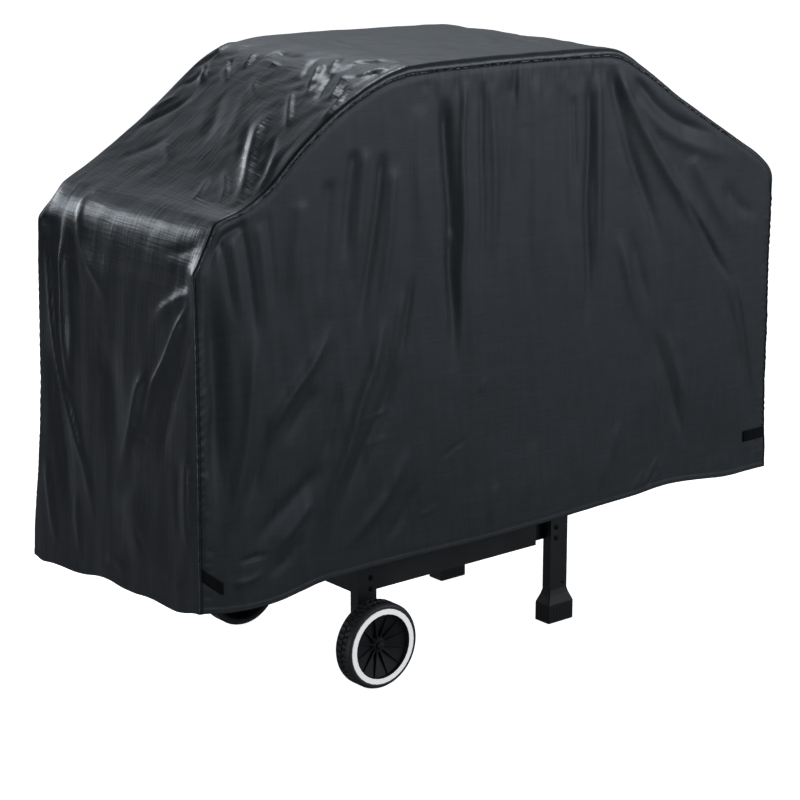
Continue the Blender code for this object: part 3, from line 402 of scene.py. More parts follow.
def fold_height(P, wanted):
    """Sum of the heights of the folds on the wanted face, at the rows of P."""
    total = np.zeros(len(P))
    for pts, w, h, sharp, face in FOLDS:
        if face != wanted:
            continue
        reach = 3.2 * w
        lo, hi = pts.min(0) - reach, pts.max(0) + reach
        near = np.nonzero(((P > lo) & (P < hi)).all(1))[0]
        if not len(near):
            continue
        Q = P[near]
        start = run(pts)
        best, t = np.full(len(Q), FAR), np.zeros(len(Q))
        for k in range(len(pts) - 1):
            d = pts[k + 1] - pts[k]
            u = np.clip(((Q - pts[k]) @ d) / (d @ d + TINY), 0, 1)
            dist = np.linalg.norm(Q - pts[k] - u[:, None] * d, axis=1)
            sel = dist < best
            best[sel] = dist[sel]
            t[sel] = (start[k] + u[sel] * (start[k + 1] - start[k])) / start[-1]
        # a fold that hangs from a sewn edge starts at once; the others fade in
        sewn = abs(abs(pts[0, 1]) - EDGE) < .001 and pts[0, 2] > CREST_Z
        fade = smooth(t / (.10 if sewn else .28) + (.35 if len(pts) == 2 else 0)) * smooth((1 - t) / .42)
        q = best / w
        round_ = np.exp(-q * q)
        crisp = np.exp(-1.3 * (np.sqrt(q * q + .06) - math.sqrt(.06)))
        total[near] += h * fade * ((1 - sharp) * round_ + sharp * crisp)
    return total


def facets(P, seed, size, spread=1.0):
    """Crumpled cloth as a sum of folded planes: flat facets that meet in crisp creases."""
    rng = np.random.default_rng(seed)
    warp = np.stack([noise(P * 9 + 7 * k, seed + k) for k in range(3)], 1) * size * .35
    total = np.zeros(len(P))
    for k in range(7):
        d = rng.normal(size=3) * V([1, spread, 1])
        d /= np.linalg.norm(d)
        span = size * rng.uniform(.7, 1.9)
        w = ((P + warp) @ d) / span + rng.random()
        total += (np.abs(w - np.round(w)) * 4 - 1) * span / size * .4
    return total * .5


def texture_height(P, panel_part, strip_part):
    """Finer unevenness of the cloth in metres: drape streaks, soft dents and crumples."""
    x, y, z = P.T
    warp = noise(P * 3, 5)
    streak = noise(rows((x + warp * .03) * 24, y * 24, z * 2), 1) * .0009
    ridges = ridged(rows((x + warp * .04 + z * .1) * 17, y * 19, z * 1.6), 2)
    streak += ridges * (.0009 - .0005 * panel_part)
    streak += noise(rows((x + z * .12) * 60, y * 50, z * 7), 9) * .00035
    top = smooth((z - CREST_Z) / .06) * strip_part * (1 - panel_part)
    dent = noise(P * V([12, 10, 12]), 3) * .0012
    dent += noise(P * V([34, 30, 34]), 4) * (.0003 + .0004 * top)
    # the top is crumpled most where the two slopes meet the flat part
    left_bend = .25 + .9 * smooth(-y / .15) + .5 * smooth((y - .1) / .1)
    left_bend *= np.exp(-(((x + .34) / .085) ** 2))
    right_bend = .7 * np.exp(-(((x - .31) / .07) ** 2))
    where = left_bend + right_bend + .16 + .3 * smooth((np.abs(y) - .2) / .05)
    crumple = facets(P, 31, .055, 1.5) * .0021 + facets(P, 57, .024, 1.5) * .0010
    walls = facets(P * V([1, 1, .35]), 77, .06) * .0012 * (1 - top) * strip_part * (1 - panel_part)
    return streak * (1 - top) + dent * (.5 + .5 * top) + crumple * where * top + walls


def nearest_rail(P, side):
    """Distance from the rows of P to the sewn edge in x, z, and the strip's normal there."""
    line, normal = SEAM[side]
    best, at = np.full(len(P), FAR), np.zeros(len(P), int)
    for k in range(0, len(line), 2):
        d = (P[:, 0] - line[k, 0]) ** 2 + (P[:, 2] - line[k, 1]) ** 2
        sel = d < best
        best[sel], at[sel] = d[sel], k
    return np.sqrt(best), normal[at]


KNOB_X, KNOB_Z, KNOB_ROOM = .16, .898, .06     # the knobs under the front sheet
DEEPEST, DEEPEST_AT_KNOB = -.03, -.0075
TUCK_DEEP, TUCK_WIDE = .0034, .0065            # the groove where a panel is sewn to the strip


def displace(P, strip_normal, strip_weight):
    """Moves base points by the folds, depending only on where a point is, so that seams stay closed."""
    x, y, z = P.T
    front = smooth(1 - (y + EDGE) / .03)
    back = smooth(1 - (EDGE - y) / .03)
    n = rows(strip_normal[:, 0] * strip_weight, back - front, strip_normal[:, 1] * strip_weight)
    n /= np.linalg.norm(n, axis=1)[:, None] + SMALL
    h = fold_height(P, "F") * front + fold_height(P, "B") * back + fold_height(P, "S") * strip_weight
    h += texture_height(P, np.maximum(front, back), strip_weight)
    # folds lie flatter right at a sewn edge
    h *= 1 - .55 * np.minimum(np.maximum(front, back), strip_weight)
    # the front stays clear of the two knobs, also when they are turned
    knob = np.exp(-(((np.abs(x) - KNOB_X) / KNOB_ROOM) ** 2) - ((z - KNOB_Z) / KNOB_ROOM) ** 2) * front
    h = np.maximum(h, DEEPEST_AT_KNOB * knob + DEEPEST * (1 - knob))
    D = P + n * h[:, None]
    for side, face in ((-1, front), (1, back)):
        groove = TUCK_DEEP * np.exp(-((nearest_rail(P, side)[0] / TUCK_WIDE) ** 2))
        D[:, 1] -= side * groove * (1 + .2 * noise(P * 60, 61)) * smooth((z - .30) / .05) * face
    return D


def flare(D, P):
    """The back left corner stands out at the hem, and the skirt swings a little near the ground."""
    x, y, z = P.T
    corner = smooth((y - .02) / .24) * smooth((-x - .60) / .16) * smooth((.60 - z) / .36)
    swing = smooth((.5 - z) / .2) * smooth(-y / .1) * np.sin(x * 7 + .8) * smooth((.74 - np.abs(x)) / .1)
    D = D.copy()
    D[:, 0] -= .006 * corner
    D[:, 1] += .011 * corner - .004 * swing
    return D


# ---------------------------------------------------------------- the three sheets
HEM_FRONT = [
    (-.766, .263), (-.731, .255), (-.660, .248), (-.592, .246), (-.520, .257), (-.483, .264), (-.283, .264),
    (-.073, .261), (.190, .267), (.277, .269), (.366, .269), (.456, .275), (.549, .267), (.644, .255),
    (.740, .258), (.766, .257)]
CLOTH = .0012          # thickness of a sheet
BAND = .0115           # the turned-up hem
COLUMNS = 281          # of a panel, from end to end
ROWS = np.concatenate([[0, .0022, .0055, .009, .0125, .0145, .0175], np.linspace(.022, 1, 164)])
STRIP_ROWS = 505       # along the strip, from hem to hem
STRIP_INNER = 84       # across the strip, between its rolled edges


def hem_band(dist):
    """Height of the doubled cloth of the hem, with the stitch line sunk in at its top."""
    return .0006 * smooth((BAND + .001 - dist) / .002) - .0004 * np.exp(-(((dist - BAND) / .0016) ** 2))


def resample(curve, at, key):
    """The curve at the fractions at of its key's range."""
    t = key(curve)
    g = t[0] + (t[-1] - t[0]) * at
    return rows(np.interp(g, t, curve[:, 0]), np.interp(g, t, curve[:, 1]))


def panel(side):
    """Front (-1) or back (+1) sheet as (verts, uv, faces, grid size), a patch between four edge curves."""
    line, _ = SEAM[side]
    nu, nv = COLUMNS, len(ROWS)
    left, right = line[: LEFT_SHOULDER + 1], line[RIGHT_SHOULDER:][::-1]
    top = line[LEFT_SHOULDER : RIGHT_SHOULDER + 1]
    L, R = resample(left, ROWS, run), resample(right, ROWS, run)
    T = resample(top, np.linspace(0, 1, nu), lambda c: .35 * run(c) + .65 * (c[:, 0] - c[0, 0]))
    bx = T[:, 0] + np.linspace(L[0, 0] - T[0, 0], R[0, 0] - T[-1, 0], nu)
    if side < 0:
        bz = np.interp(bx, *V(HEM_FRONT).T)
        bz = np.convolve(np.pad(bz, 6, mode="edge"), np.ones(13) / 13, "valid")
        left_blend, right_blend = 14, 14
    else:
        bz = .262 + .006 * np.sin(bx * 9 + .6) + .004 * np.sin(bx * 23)
        left_blend, right_blend = 24, 20
    column = np.arange(nu)
    at_left, at_right = smooth(1 - column / left_blend), smooth(1 - column[::-1] / right_blend)
    bz += (L[0, 1] - bz[0]) * at_left + (R[0, 1] - bz[-1]) * at_right
    B = rows(bx, bz)
    u, v = np.linspace(0, 1, nu)[:, None, None], ROWS[None, :, None]
    G = (1 - v) * B[:, None] + v * T[:, None] + (1 - u) * L[None] + u * R[None]
    G -= (1 - u) * (1 - v) * L[0] + u * (1 - v) * R[0] + (1 - u) * v * L[-1] + u * v * R[-1]
    G = G.reshape(-1, 2)
    P = rows(G[:, 0], np.full(len(G), side * EDGE), G[:, 1])
    dist, normal = nearest_rail(P, side)
    D = flare(displace(P, normal, smooth(1 - dist / .03)), P)
    D[:, 1] += side * hem_band((P[:, 2].reshape(nu, nv) - B[:, 1][:, None]).ravel())
    faces = grid_faces(nu, nv)
    if side > 0:
        faces = [f[::-1] for f in faces]
    return D, G + (5 * (side > 0), 0), faces, (nu, nv)


def strip():
    """The sheet that runs from the left hem over the top to the right hem."""
    step = np.linalg.norm(np.diff(RAIL[:, :2], axis=0), axis=1)
    x, z = RAIL[:-1, 0], RAIL[:-1, 1]
    # more rows where the cloth is crumpled, and at the hems
    fine = np.interp(x, [-.70, -.66, -.44, -.40, -.26, -.20, .25, .28, .36, .42, .70],
                     [1, 1.05, 1.15, 1.5, 1.5, .95, .9, 1.3, 1.3, .95, .9])
    fine = np.where(z < .9, .88, fine)
    fine = np.where(z < .282, 2.0, fine)
    s = np.concatenate([[0], np.cumsum(step * fine)])
    stations = np.arange(len(RAIL))
    k = np.interp(np.linspace(0, s[-1], STRIP_ROWS), s, stations)
    arc = np.interp(k, stations, np.concatenate([[0], np.cumsum(step)]))
    turn = np.radians(np.linspace(90, 0, 8)[:-1])
    cols = [(-1, a) for a in turn] + [(c, None) for c in np.linspace(-1, 1, STRIP_INNER)]
    cols += [(1, a) for a in turn[::-1]]
    r = rail_at(k, -EDGE)[4]
    points, normals, uvs = [], [], []
    for c, a in cols:
        if a is None:
            y, drop = c * (EDGE - r), 0 * r
        else:
            y, drop = c * (EDGE - r + r * np.sin(a)), r * (1 - np.cos(a))
        X, Z, nx, nz, _ = rail_at(k, y)
        points.append(rows(X - nx * drop, y, Z - nz * drop))
        normals.append(rows(nx, nz))
        uvs.append(rows(arc, y + 3))
    nv = len(cols)
    P = np.stack(points, 1).reshape(-1, 3)
    N = np.stack(normals, 1).reshape(-1, 2)
    # hem line of the two ends
    low = smooth(1 - (P[:, 2] - .25) / .12)
    wave = .004 * np.sin(P[:, 1] * 17 + 1.1) + .003 * np.sin(P[:, 1] * 41)
    P[:, 2] += (wave - .004) * low * smooth((EDGE - np.abs(P[:, 1])) / .04)
    D = flare(displace(P, N, np.ones(len(P))), P)
    outward = np.where(arc < 1, -1, 1)
    D[:, 0] += np.repeat(outward * hem_band(np.minimum(arc, arc[-1] - arc)), nv)
    faces = [f[::-1] for f in grid_faces(STRIP_ROWS, nv)]
    return D, np.stack(uvs, 1).reshape(-1, 2), faces, (STRIP_ROWS, nv)


def sheet(name, node, made):
    """A cloth sheet that takes the place of a node, and its grid of points."""
    verts, uv, faces, size = made
    ob = mesh_object(name, verts, faces, uv)
    m = ob.modifiers.new("thickness", "SOLIDIFY")
    m.thickness, m.offset, m.use_even_offset = CLOTH, -1, False
    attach(ob, "cover")
    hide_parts(node)
    return ob, verts.reshape(*size, 3)


cover_front, front_g = sheet("cover_front_sheet", "cover_front_panel", panel(-1))
cover_back, back_g = sheet("cover_back_sheet", "cover_back_panel", panel(1))
cover_strip, strip_g = sheet("cover_top_sheet", "cover_top_strip", strip())


# ---------------------------------------------------------------- piping, stitching, straps
def along(path, extra, step):
    """Points every step along path, the directions there, and extra rows carried with them."""
    s = run(path)
    g = np.arange(step / 2, s[-1], step)

    def at(places, values):
        return np.stack([np.interp(places, s, values[:, c]) for c in range(3)], 1)

    return at(g, path), unit(at(g + step * .3, path) - at(g - step * .3, path)), unit(at(g, extra))


# one thread stitch as a unit-size pad: ends, middle and top, then its faces
STITCH = V([(-1, 0, -.6), (-.6, 1, -.2), (-.6, -1, -.2), (-.5, 0, 1),
            (.5, 0, 1), (.6, 1, -.2), (.6, -1, -.2), (1, 0, -.6)]) / 2
STITCH_FACES = [(0, 3, 1), (0, 2, 3), (1, 3, 4, 5), (3, 2, 6, 4), (7, 5, 4), (7, 4, 6), (0, 1, 5, 7),
                (0, 7, 6, 2)]


def stitches(name, lines, pitch=.0046, size=(.0031, .0008, .0005)):
    """Rows of thread stitches lying on the cloth; lines holds (path, outward normals)."""
    verts, faces = [], []
    for path, normal in lines:
        at, d, n = along(path, normal, pitch)
        w = np.cross(n, d)
        for a, dd, ww, nn in zip(at, d, w, n):
            base = len(verts)
            for i, j, k in STITCH:
                verts.append(a + dd * i * size[0] + ww * j * size[1] + nn * (k * size[2] * 2 + .0001))
            faces += [tuple(base + q for q in f) for f in STITCH_FACES]
    return mesh_object(name, verts, faces)


def tube(name, lines, radius, sides=6, beads=0.0):
    """Cord laid along each path, a little pinched by its thread."""
    verts, faces = [], []
    for path, normal in lines:
        d = unit(np.gradient(path, axis=0))
        n = unit(normal - d * (normal * d).sum(1, keepdims=True))
        w = np.cross(d, n)
        s = run(path) * 2 * math.pi
        r = radius * (1 + beads * np.sin(s / .011) + beads * .6 * np.sin(s / .029 + 1))
        base = len(verts)
        for i in range(len(path)):
            for q in range(sides):
                a = 2 * math.pi * q / sides
                verts.append(path[i] + r[i] * (math.cos(a) * n[i] + math.sin(a) * w[i]))
        for i in range(len(path) - 1):
            for q in range(sides):
                b, c = base + i * sides, base + (i + 1) * sides
                faces.append((b + q, b + (q + 1) % sides, c + (q + 1) % sides, c + q))
        faces.append(tuple(base + q for q in range(sides))[::-1])
        faces.append(tuple(base + (len(path) - 1) * sides + q for q in range(sides)))
    return mesh_object(name, verts, faces)


def sheet_normals(grid, flip):
    c = unit(np.cross(np.gradient(grid, axis=0), np.gradient(grid, axis=1)))
    return -c if flip else c


strip_o, back_o = sheet_normals(strip_g, True), sheet_normals(back_g, True)
front_o = sheet_normals(front_g, False)
seams = []
for col, sy in ((0, -1), (strip_g.shape[1] - 1, 1)):
    out = unit(strip_o[:, col] + V([0, sy, 0]))
    seams.append((strip_g[:, col] + out * .0006, out))
# piping over the top coloured far lighter than the cloth, a painted highlight; a thin dark matte cord down
# the corners, painted shade
upper = strip_g[:, strip_g.shape[1] // 2, 2] > .90
first, last = int(np.argmax(upper)), int(len(upper) - np.argmax(upper[::-1]))
corners = (slice(0, first + 1), slice(last - 1, None))
piping_painted_highlight = tube("cover_seam_piping", [(p[first:last], n[first:last]) for p, n in seams], .0015, beads=.14)
# painted shade: the corner seams get a dark matte cord, which draws the dark line along them
painted_shade_cord = tube("cover_corner_cord", [(p[part], n[part]) for p, n in seams for part in corners], .0011)


def level_line(grid, normals, dist, count):
    """Path at dist from the hem across a sheet, whose first count rows are searched."""
    at = []
    for column in grid[:, :count]:
        s = run(column)
        at.append([np.interp(dist, s, column[:, c]) for c in range(3)])
    return V(at), normals[:, 3]


hems = [level_line(front_g, front_o, BAND, 12), level_line(back_g, back_o, BAND, 12)]
for g, o in ((strip_g, strip_o), (strip_g[::-1], strip_o[::-1])):
    hems.append(level_line(np.swapaxes(g[:16], 0, 1), np.swapaxes(o[:16], 0, 1), BAND, 14))
tops = [(strip_g[:, 7], strip_o[:, 7]), (strip_g[:, -8], strip_o[:, -8])]
thread = stitches("cover_stitching", hems + tops)
for ob in (piping_painted_highlight, painted_shade_cord, thread):
    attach(ob, "cover")


def fix_normals(ob):
    bm = bmesh.new()
    bm.from_mesh(ob.data)
    bmesh.ops.recalc_face_normals(bm, faces=bm.faces)
    bm.to_mesh(ob.data)
    bm.free()


WEBBING = .024         # width of a strap
# a box and a cross at the free end and two rows at the seam, as fractions along and across the strap
TACKS = (((.76, .12), (.76, .88)), ((.95, .12), (.95, .88)), ((.76, .12), (.95, .88)),
         ((.95, .12), (.76, .88)), ((.04, .1), (.04, .9)), ((.07, .1), (.07, .9)))


def strap(name, end, face):
    """Webbing tab sewn into a corner seam, lying on the cloth, with a folded and tacked free end."""
    lo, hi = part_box(name)
    pts = (front_g if face < 0 else back_g).reshape(-1, 3)
    run_x, drop = hi.x - lo.x, (hi.z - lo.z) - WEBBING
    seam_x, way = (lo.x, 1) if end < 0 else (hi.x, -1)
    n_long, n_wide = 26, 13
    outer, inner = [], []
    for i in range(n_long):
        t = i / (n_long - 1)
        for j in range(n_wide):
            u = j / (n_wide - 1)
            x = seam_x + way * run_x * t
            z = hi.z - drop * t - WEBBING * u
            near = pts[(abs(pts[:, 0] - x) < .006) & (abs(pts[:, 2] - z) < .007)]
            y = (near[:, 1] * face).max() if len(near) else EDGE
            rib = .00018 * math.cos(u * math.pi * 14)
            edge = .0005 * max(0, 1 - min(u, 1 - u) / .08)
            lift = .0012 + .0016 * math.sin(t * math.pi) ** 2 + (.0016 if t > .72 else 0)
            inner.append((x, face * (y + .0002 + edge), z))
            outer.append((x, face * (y + lift + rib - edge), z))
    k = n_long * n_wide
    faces = grid_faces(n_long, n_wide)
    faces += [tuple(k + q for q in f[::-1]) for f in faces]
    ring = [(i, 0) for i in range(n_long)] + [(n_long - 1, j) for j in range(1, n_wide)]
    ring += [(i, n_wide - 1) for i in range(n_long - 2, -1, -1)]
    ring += [(0, j) for j in range(n_wide - 2, 0, -1)]
    idx = [i * n_wide + j for i, j in ring]
    faces += [(a, k + a, k + b, b) for a, b in zip(idx, idx[1:] + idx[:1])]
    ob = mesh_object(name + "_webbing", outer + inner, faces)
    ob.data.validate()
    fix_normals(ob)
    O = V(outer).reshape(n_long, n_wide, 3)
    n = np.tile(V([0, face, 0.0]), (40, 1))
    lines = []
    for a, b in TACKS:
        q = []
        for f in np.linspace(0, 1, 40):
            i = round((a[0] + (b[0] - a[0]) * f) * (n_long - 1))
            j = round((a[1] + (b[1] - a[1]) * f) * (n_wide - 1))
            q.append(O[i, j])
        q = spline(V(q)[::13], 13)[:40]
        lines.append((q, n[: len(q)]))
    tack = stitches(name + "_tack", lines, .0030, (.0024, .0007, .0005))
    for o in (ob, tack):
        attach(o, name)
    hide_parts(name)
    return [ob, tack]


straps = []
for f_name, face in (("front", -1), ("back", 1)):
    for e_name, end in (("left", -1), ("right", 1)):
        straps += strap(f"{f_name}_{e_name}_strap", end, face)


# ---------------------------------------------------------------- tyres and feet
def hard_piece(name, suffix, verts, faces, body):
    """A flat-shaded mesh that takes the place of the node name."""
    ob = mesh_object(name + suffix, verts, faces)
    fix_normals(ob)
    ob.data.polygons.foreach_set("use_smooth", [False] * len(ob.data.polygons))
    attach(ob, body)
    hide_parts(name)
    return ob


RIM_SEAT = .0788       # radius inside the tyre
LUGS = 44              # of each of a tyre's two rows
LUG_STEPS = (0, .07, .54, .61, .80)          # round the tyre, as parts of a lug's pitch
# the shoulder of one side, then its half of the groove: inset from the side or distance from the
# middle, radius against the tyre's, how deep the slots between lugs cut there
SHOULDER = ((0, -.0062, 0), (.0008, -.0045, 0), (.0024, -.0030, 0), (.0052, -.0011, 0), (.0078, -.0002, 0),
            (.0086, 0, .0026), (.0092, 0, .0028))
GROOVE = ((.0028, 0, .0028), (.0022, 0, .0026), (.0014, -.0003, 0), (.0009, -.0030, 0))


def tyre(name, face, body):
    """Plastic tyre: two rows of short cross lugs either side of a running groove, and rounded shoulders."""
    lo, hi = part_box(name)
    cx, cy, cz = (lo + hi) / 2
    R, half = (hi.z - lo.z) / 2, (hi.y - lo.y) / 2
    seat = RIM_SEAT - R
    side = [(half - .0015, seat, 0), (half, seat + .0015, 0)]
    side += [(half - inset, dr, cut) for inset, dr, cut in SHOULDER] + list(GROOVE)
    across = [(-y, dr, cut, 0) for y, dr, cut in side] + [(y, dr, cut, .5) for y, dr, cut in side[::-1]]
    verts = []
    for lug in range(LUGS):
        for step, part in enumerate(LUG_STEPS):
            for y, dr, cut, shift in across:
                a = 2 * math.pi * (lug + part + shift + .25 * abs(y) / half) / LUGS
                r = R + dr - (cut if step >= 3 else 0)
                verts.append((cx + r * math.sin(a), cy + y * -face, cz + r * math.cos(a)))
    m, around = len(across), LUGS * len(LUG_STEPS)
    faces = []
    for i in range(around):
        k = (i + 1) % around
        for j in range(m):
            faces.append((i * m + j, k * m + j, k * m + (j + 1) % m, i * m + (j + 1) % m))
    return hard_piece(name, "_tread", verts, faces, body)


tyres = [tyre("front_wheel_tyre", -1, "front_wheel"), tyre("back_wheel_tyre", 1, "back_wheel")]

FOOT_CORNER = .0028    # radius of a foot's upright edges
FOOT_RIB = .0007       # depth of the grooves between its ribs
LEG_HALF = (.0245, .0125)


def foot(name):
    """Moulded foot: a ribbed block under a flared neck that grips the leg."""
    lo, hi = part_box(name)
    cx, cy, _ = (lo + hi) / 2
    hx, hy, top = (hi.x - lo.x) / 2, (hi.y - lo.y) / 2, hi.z
    # height, how far out from the foot's widest outline, and whether the ribs show there
    levels = [(0, -.0016, 0), (.0006, -.0005, 0), (.0020, 0, 0), (.0038, 0, 1), (.0335, 0, 1),
              (.0355, 0, 0), (.0400, 0, 0), (.0425, -.0004, 0), (.0600, -.0078, 0), (.0690, -.0104, 0),
              (.0715, -.0110, 0), (top - .0005, -.0112, 0), (top, -.0120, 0)]

    def ring(grow, rib):
        """The outline at one level: each rounded corner, then the ribbed face up to the next one."""
        pts = []
        c = FOOT_CORNER
        a, b = hx + grow, hy + grow * (hy - LEG_HALF[1]) / max(hx - LEG_HALF[0], .001)
        for turn, (sx, sy), (nx, ny), start, end, ribs in (
                (0, (1, 1), (0, 1), (a - c, b), (c - a, b), 7),
                (90, (-1, 1), (-1, 0), (-a, b - c), (-a, c - b), 4),
                (180, (-1, -1), (0, -1), (c - a, -b), (a - c, -b), 7),
                (270, (1, -1), (1, 0), (a, c - b), (a, b - c), 4)):
            for q in range(4):
                t = math.radians(turn + q * 30)
                pts.append((sx * (a - c) + c * math.cos(t), sy * (b - c) + c * math.sin(t)))
            for q in range(1, ribs * 4):
                f = q / (ribs * 4)
                deep = FOOT_RIB * rib if q % 4 == 0 else 0
                x = start[0] + (end[0] - start[0]) * f - nx * deep
                pts.append((x, start[1] + (end[1] - start[1]) * f - ny * deep))
        return pts

    rings = [ring(grow, rib) for _, grow, rib in levels]
    m = len(rings[0])
    verts = [(cx + x, cy + y, lo.z + z) for (z, _, _), outline in zip(levels, rings) for x, y in outline]
    faces = []
    for i in range(len(levels) - 1):
        for j in range(m):
            k = (j + 1) % m
            faces.append((i * m + j, i * m + k, (i + 1) * m + k, (i + 1) * m + j))
    faces += [tuple(range(m))[::-1], tuple(range((len(levels) - 1) * m, len(levels) * m))]
    return hard_piece(name, "_moulded", verts, faces, "cart")


feet = [foot("front_right_foot"), foot("back_right_foot")]


# ---------------------------------------------------------------- materials
class Tree:
    """Short ways to add nodes to one node tree."""

    def __init__(self, tree):
        self.nodes, self.links = tree.nodes, tree.links

    def new(self, kind, **settings):
        node = self.nodes.new("ShaderNode" + kind)
        for key, value in settings.items():
            setattr(node, key, value)
        return node

    def put(self, socket, value):
        """Links another node's output to the input socket, or sets its value."""
        if isinstance(value, bpy.types.NodeSocket):
            self.links.new(value, socket)
        else:
            socket.default_value = value

    def math(self, operation, a, b):
        node = self.new("Math", operation=operation)
        self.put(node.inputs[0], a)
        self.put(node.inputs[1], b)
        return node.outputs[0]

    def mul(self, a, b):
        return self.math("MULTIPLY", a, b)

    def add(self, a, b):
        return self.math("ADD", a, b)

    def blend(self, factor, a, b):
        """Colour a where factor is 0, b where it is 1."""
        node = self.new("Mix", data_type="RGBA")
        self.put(node.inputs[0], factor)
        self.put(node.inputs[6], a)
        self.put(node.inputs[7], b)
        return node.outputs[2]

    def noise(self, source, scale, detail, rough):
        mapping, node = self.new("Mapping"), self.new("TexNoise")
        self.put(mapping.inputs["Vector"], source)
        self.put(mapping.inputs["Scale"], scale)
        self.put(node.inputs["Vector"], mapping.outputs["Vector"])
        self.put(node.inputs["Scale"], 1)
        self.put(node.inputs["Detail"], detail)
        self.put(node.inputs["Roughness"], rough)
        return node.outputs["Fac"]

    def ramp(self, factor, low, dark, high, light):
        node = self.new("ValToRGB")
        self.put(node.inputs["Fac"], factor)
        for stop, place, colour in zip(node.color_ramp.elements, (low, high), (dark, light)):
            stop.position = place
            stop.color = (*colour, 1)
        return node.outputs["Color"]

    def bump(self, bsdf, height, strength, distance):
        node = self.new("Bump")
        self.put(node.inputs["Strength"], strength)
        self.put(node.inputs["Distance"], distance)
        self.put(node.inputs["Height"], height)
        self.put(bsdf.inputs["Normal"], node.outputs["Normal"])


def material(name, colour, rough, metal=0.0, spec=.5):
    m = bpy.data.materials.new(name)
    m.use_nodes = True
    b = m.node_tree.nodes["Principled BSDF"]
    b.inputs["Base Color"].default_value = (*colour, 1)
    b.inputs["Roughness"].default_value = rough
    b.inputs["Metallic"].default_value = metal
    b.inputs["Specular IOR Level"].default_value = spec
    return m, Tree(m.node_tree), b


def shade(colour, factor):
    return tuple(c * factor for c in colour)


def fabric(name, base, rough, depth):
    """Coated linen: long thin noise along and across for the threads, wider noise for slubs."""
    m, t, b = material(name, base, rough)
    uv = t.new("UVMap").outputs[0]
    linen = t.add(t.noise(uv, (230, 15, 1), 1.5, .5), t.noise(uv, (15, 230, 1), 1.5, .5))
    slubs = t.add(t.noise(uv, (90, 7, 1), 1, .5), t.noise(uv, (7, 90, 1), 1, .5))
    waves = []
    for axis in "XY":
        wave = t.new("TexWave", bands_direction=axis)
        t.put(wave.inputs["Vector"], uv)
        t.put(wave.inputs["Scale"], 300)
        t.put(wave.inputs["Distortion"], .8)
        t.put(wave.inputs["Detail"], 2)
        waves.append(wave.outputs["Fac"])
    weave = t.mul(*waves)
    cloud = t.noise(uv, (5, 5, 1), 4, .6)
    tone = t.add(t.add(t.mul(linen, .38), t.mul(slubs, .22)), t.mul(cloud, .2))
    t.put(b.inputs["Base Color"], t.ramp(tone, .48, shade(base, .6), .95, shade(base, 1.5)))
    # the threads show most where the cloth faces up
    up = t.new("SeparateXYZ")
    t.put(up.inputs[0], t.new("NewGeometry").outputs["Normal"])
    flat = t.add(t.mul(up.outputs["Z"], .40), .60)
    threads = t.mul(t.math("SUBTRACT", linen, 1.0), flat)
    t.put(b.inputs["Roughness"], t.add(t.mul(threads, .15), rough))
    b.inputs["Sheen Weight"].default_value = .02
    b.inputs["Sheen Roughness"].default_value = .35
    b.inputs["Sheen Tint"].default_value = (.75, .85, 1, 1)
    b.inputs["Specular Tint"].default_value = (.90, .95, 1, 1)
    height = t.add(t.add(t.mul(linen, .6), t.mul(weave, .02)), t.mul(slubs, .5))
    t.bump(b, t.mul(height, flat), 1.0, depth)
    return m


def plain(name, colour, rough, metal=0.0, grain=220, depth=.0002, spec=.5, vary=.25):
    """Paint, plastic or metal with fine grain and slow changes of tone."""
    m, t, b = material(name, colour, rough, metal, spec)
    place = t.new("TexCoord").outputs["Object"]
    fine = t.noise(place, (grain,) * 3, 4, .6)
    big = t.noise(place, (9, 9, 9), 3, .5)
    mix = t.add(t.mul(fine, .5), t.mul(big, .5))
    t.put(b.inputs["Base Color"], t.ramp(mix, .3, shade(colour, 1 - vary), .7, shade(colour, 1 + vary)))
    t.put(b.inputs["Roughness"], t.add(t.mul(big, .2), rough - .1))
    t.bump(b, fine, .3, depth)
    return m


FABRIC = fabric("cover_fabric", (.0085, .0095, .0112), .365, .0010)
# painted light: the panels are the same cloth as the strip but get a lighter colour for how they are lit
PANEL_FABRIC_PAINTED_LIGHT = fabric("cover_fabric_panels_painted_light", (.0125, .0138, .0158), .52, .0004)
THREAD = plain("thread", (.02, .021, .023), .55, 0, 2000, .0001)
# painted highlight: the piping's colour is much lighter than the cloth it is made of, so the top seams read
# as a bright line
PAINTED_HIGHLIGHT_PIPING = plain("piping_painted_highlight", (.10, .105, .11), .33, 0, 1200, .0002)
LOOKS = {
    "black_paint": plain("black_paint", (.009, .009, .010), .38, 0, 500, .0001),
    "black_plastic": plain("black_plastic", (.010, .010, .011), .55, 0, 900, .0002, spec=.3),
    "tyre_plastic": plain("tyre_plastic", (.018, .018, .02), .55, 0, 900, .0003),
    "white_ring": plain("white_ring", (.93, .93, .92), .35, 0, 300, .00005, vary=.03),
    "black_fastener": plain("black_fastener", (.003, .003, .003), .42, 0, 400, .0001, spec=.22),
    "steel": plain("steel", (.55, .56, .57), .3, 1, 300, .0001, vary=.08),
    "cast_aluminium": plain("cast_aluminium", (.42, .42, .43), .5, 1, 260, .0004, vary=.1),
    "grate_iron": plain("grate_iron", (.02, .02, .02), .6, 0, 300, .0004),
    "strap_webbing": plain("strap_webbing", (.0035, .0035, .004), .85, 0, 900, .0003, spec=.15),
    "cover_fabric": FABRIC,
}
# painted light: the ring glows weakly, so it stays as white as brightly lit plastic
ring = LOOKS["white_ring"].node_tree.nodes["Principled BSDF"]
ring.inputs["Emission Color"].default_value = (1, 1, 1, 1)
ring.inputs["Emission Strength"].default_value = .35

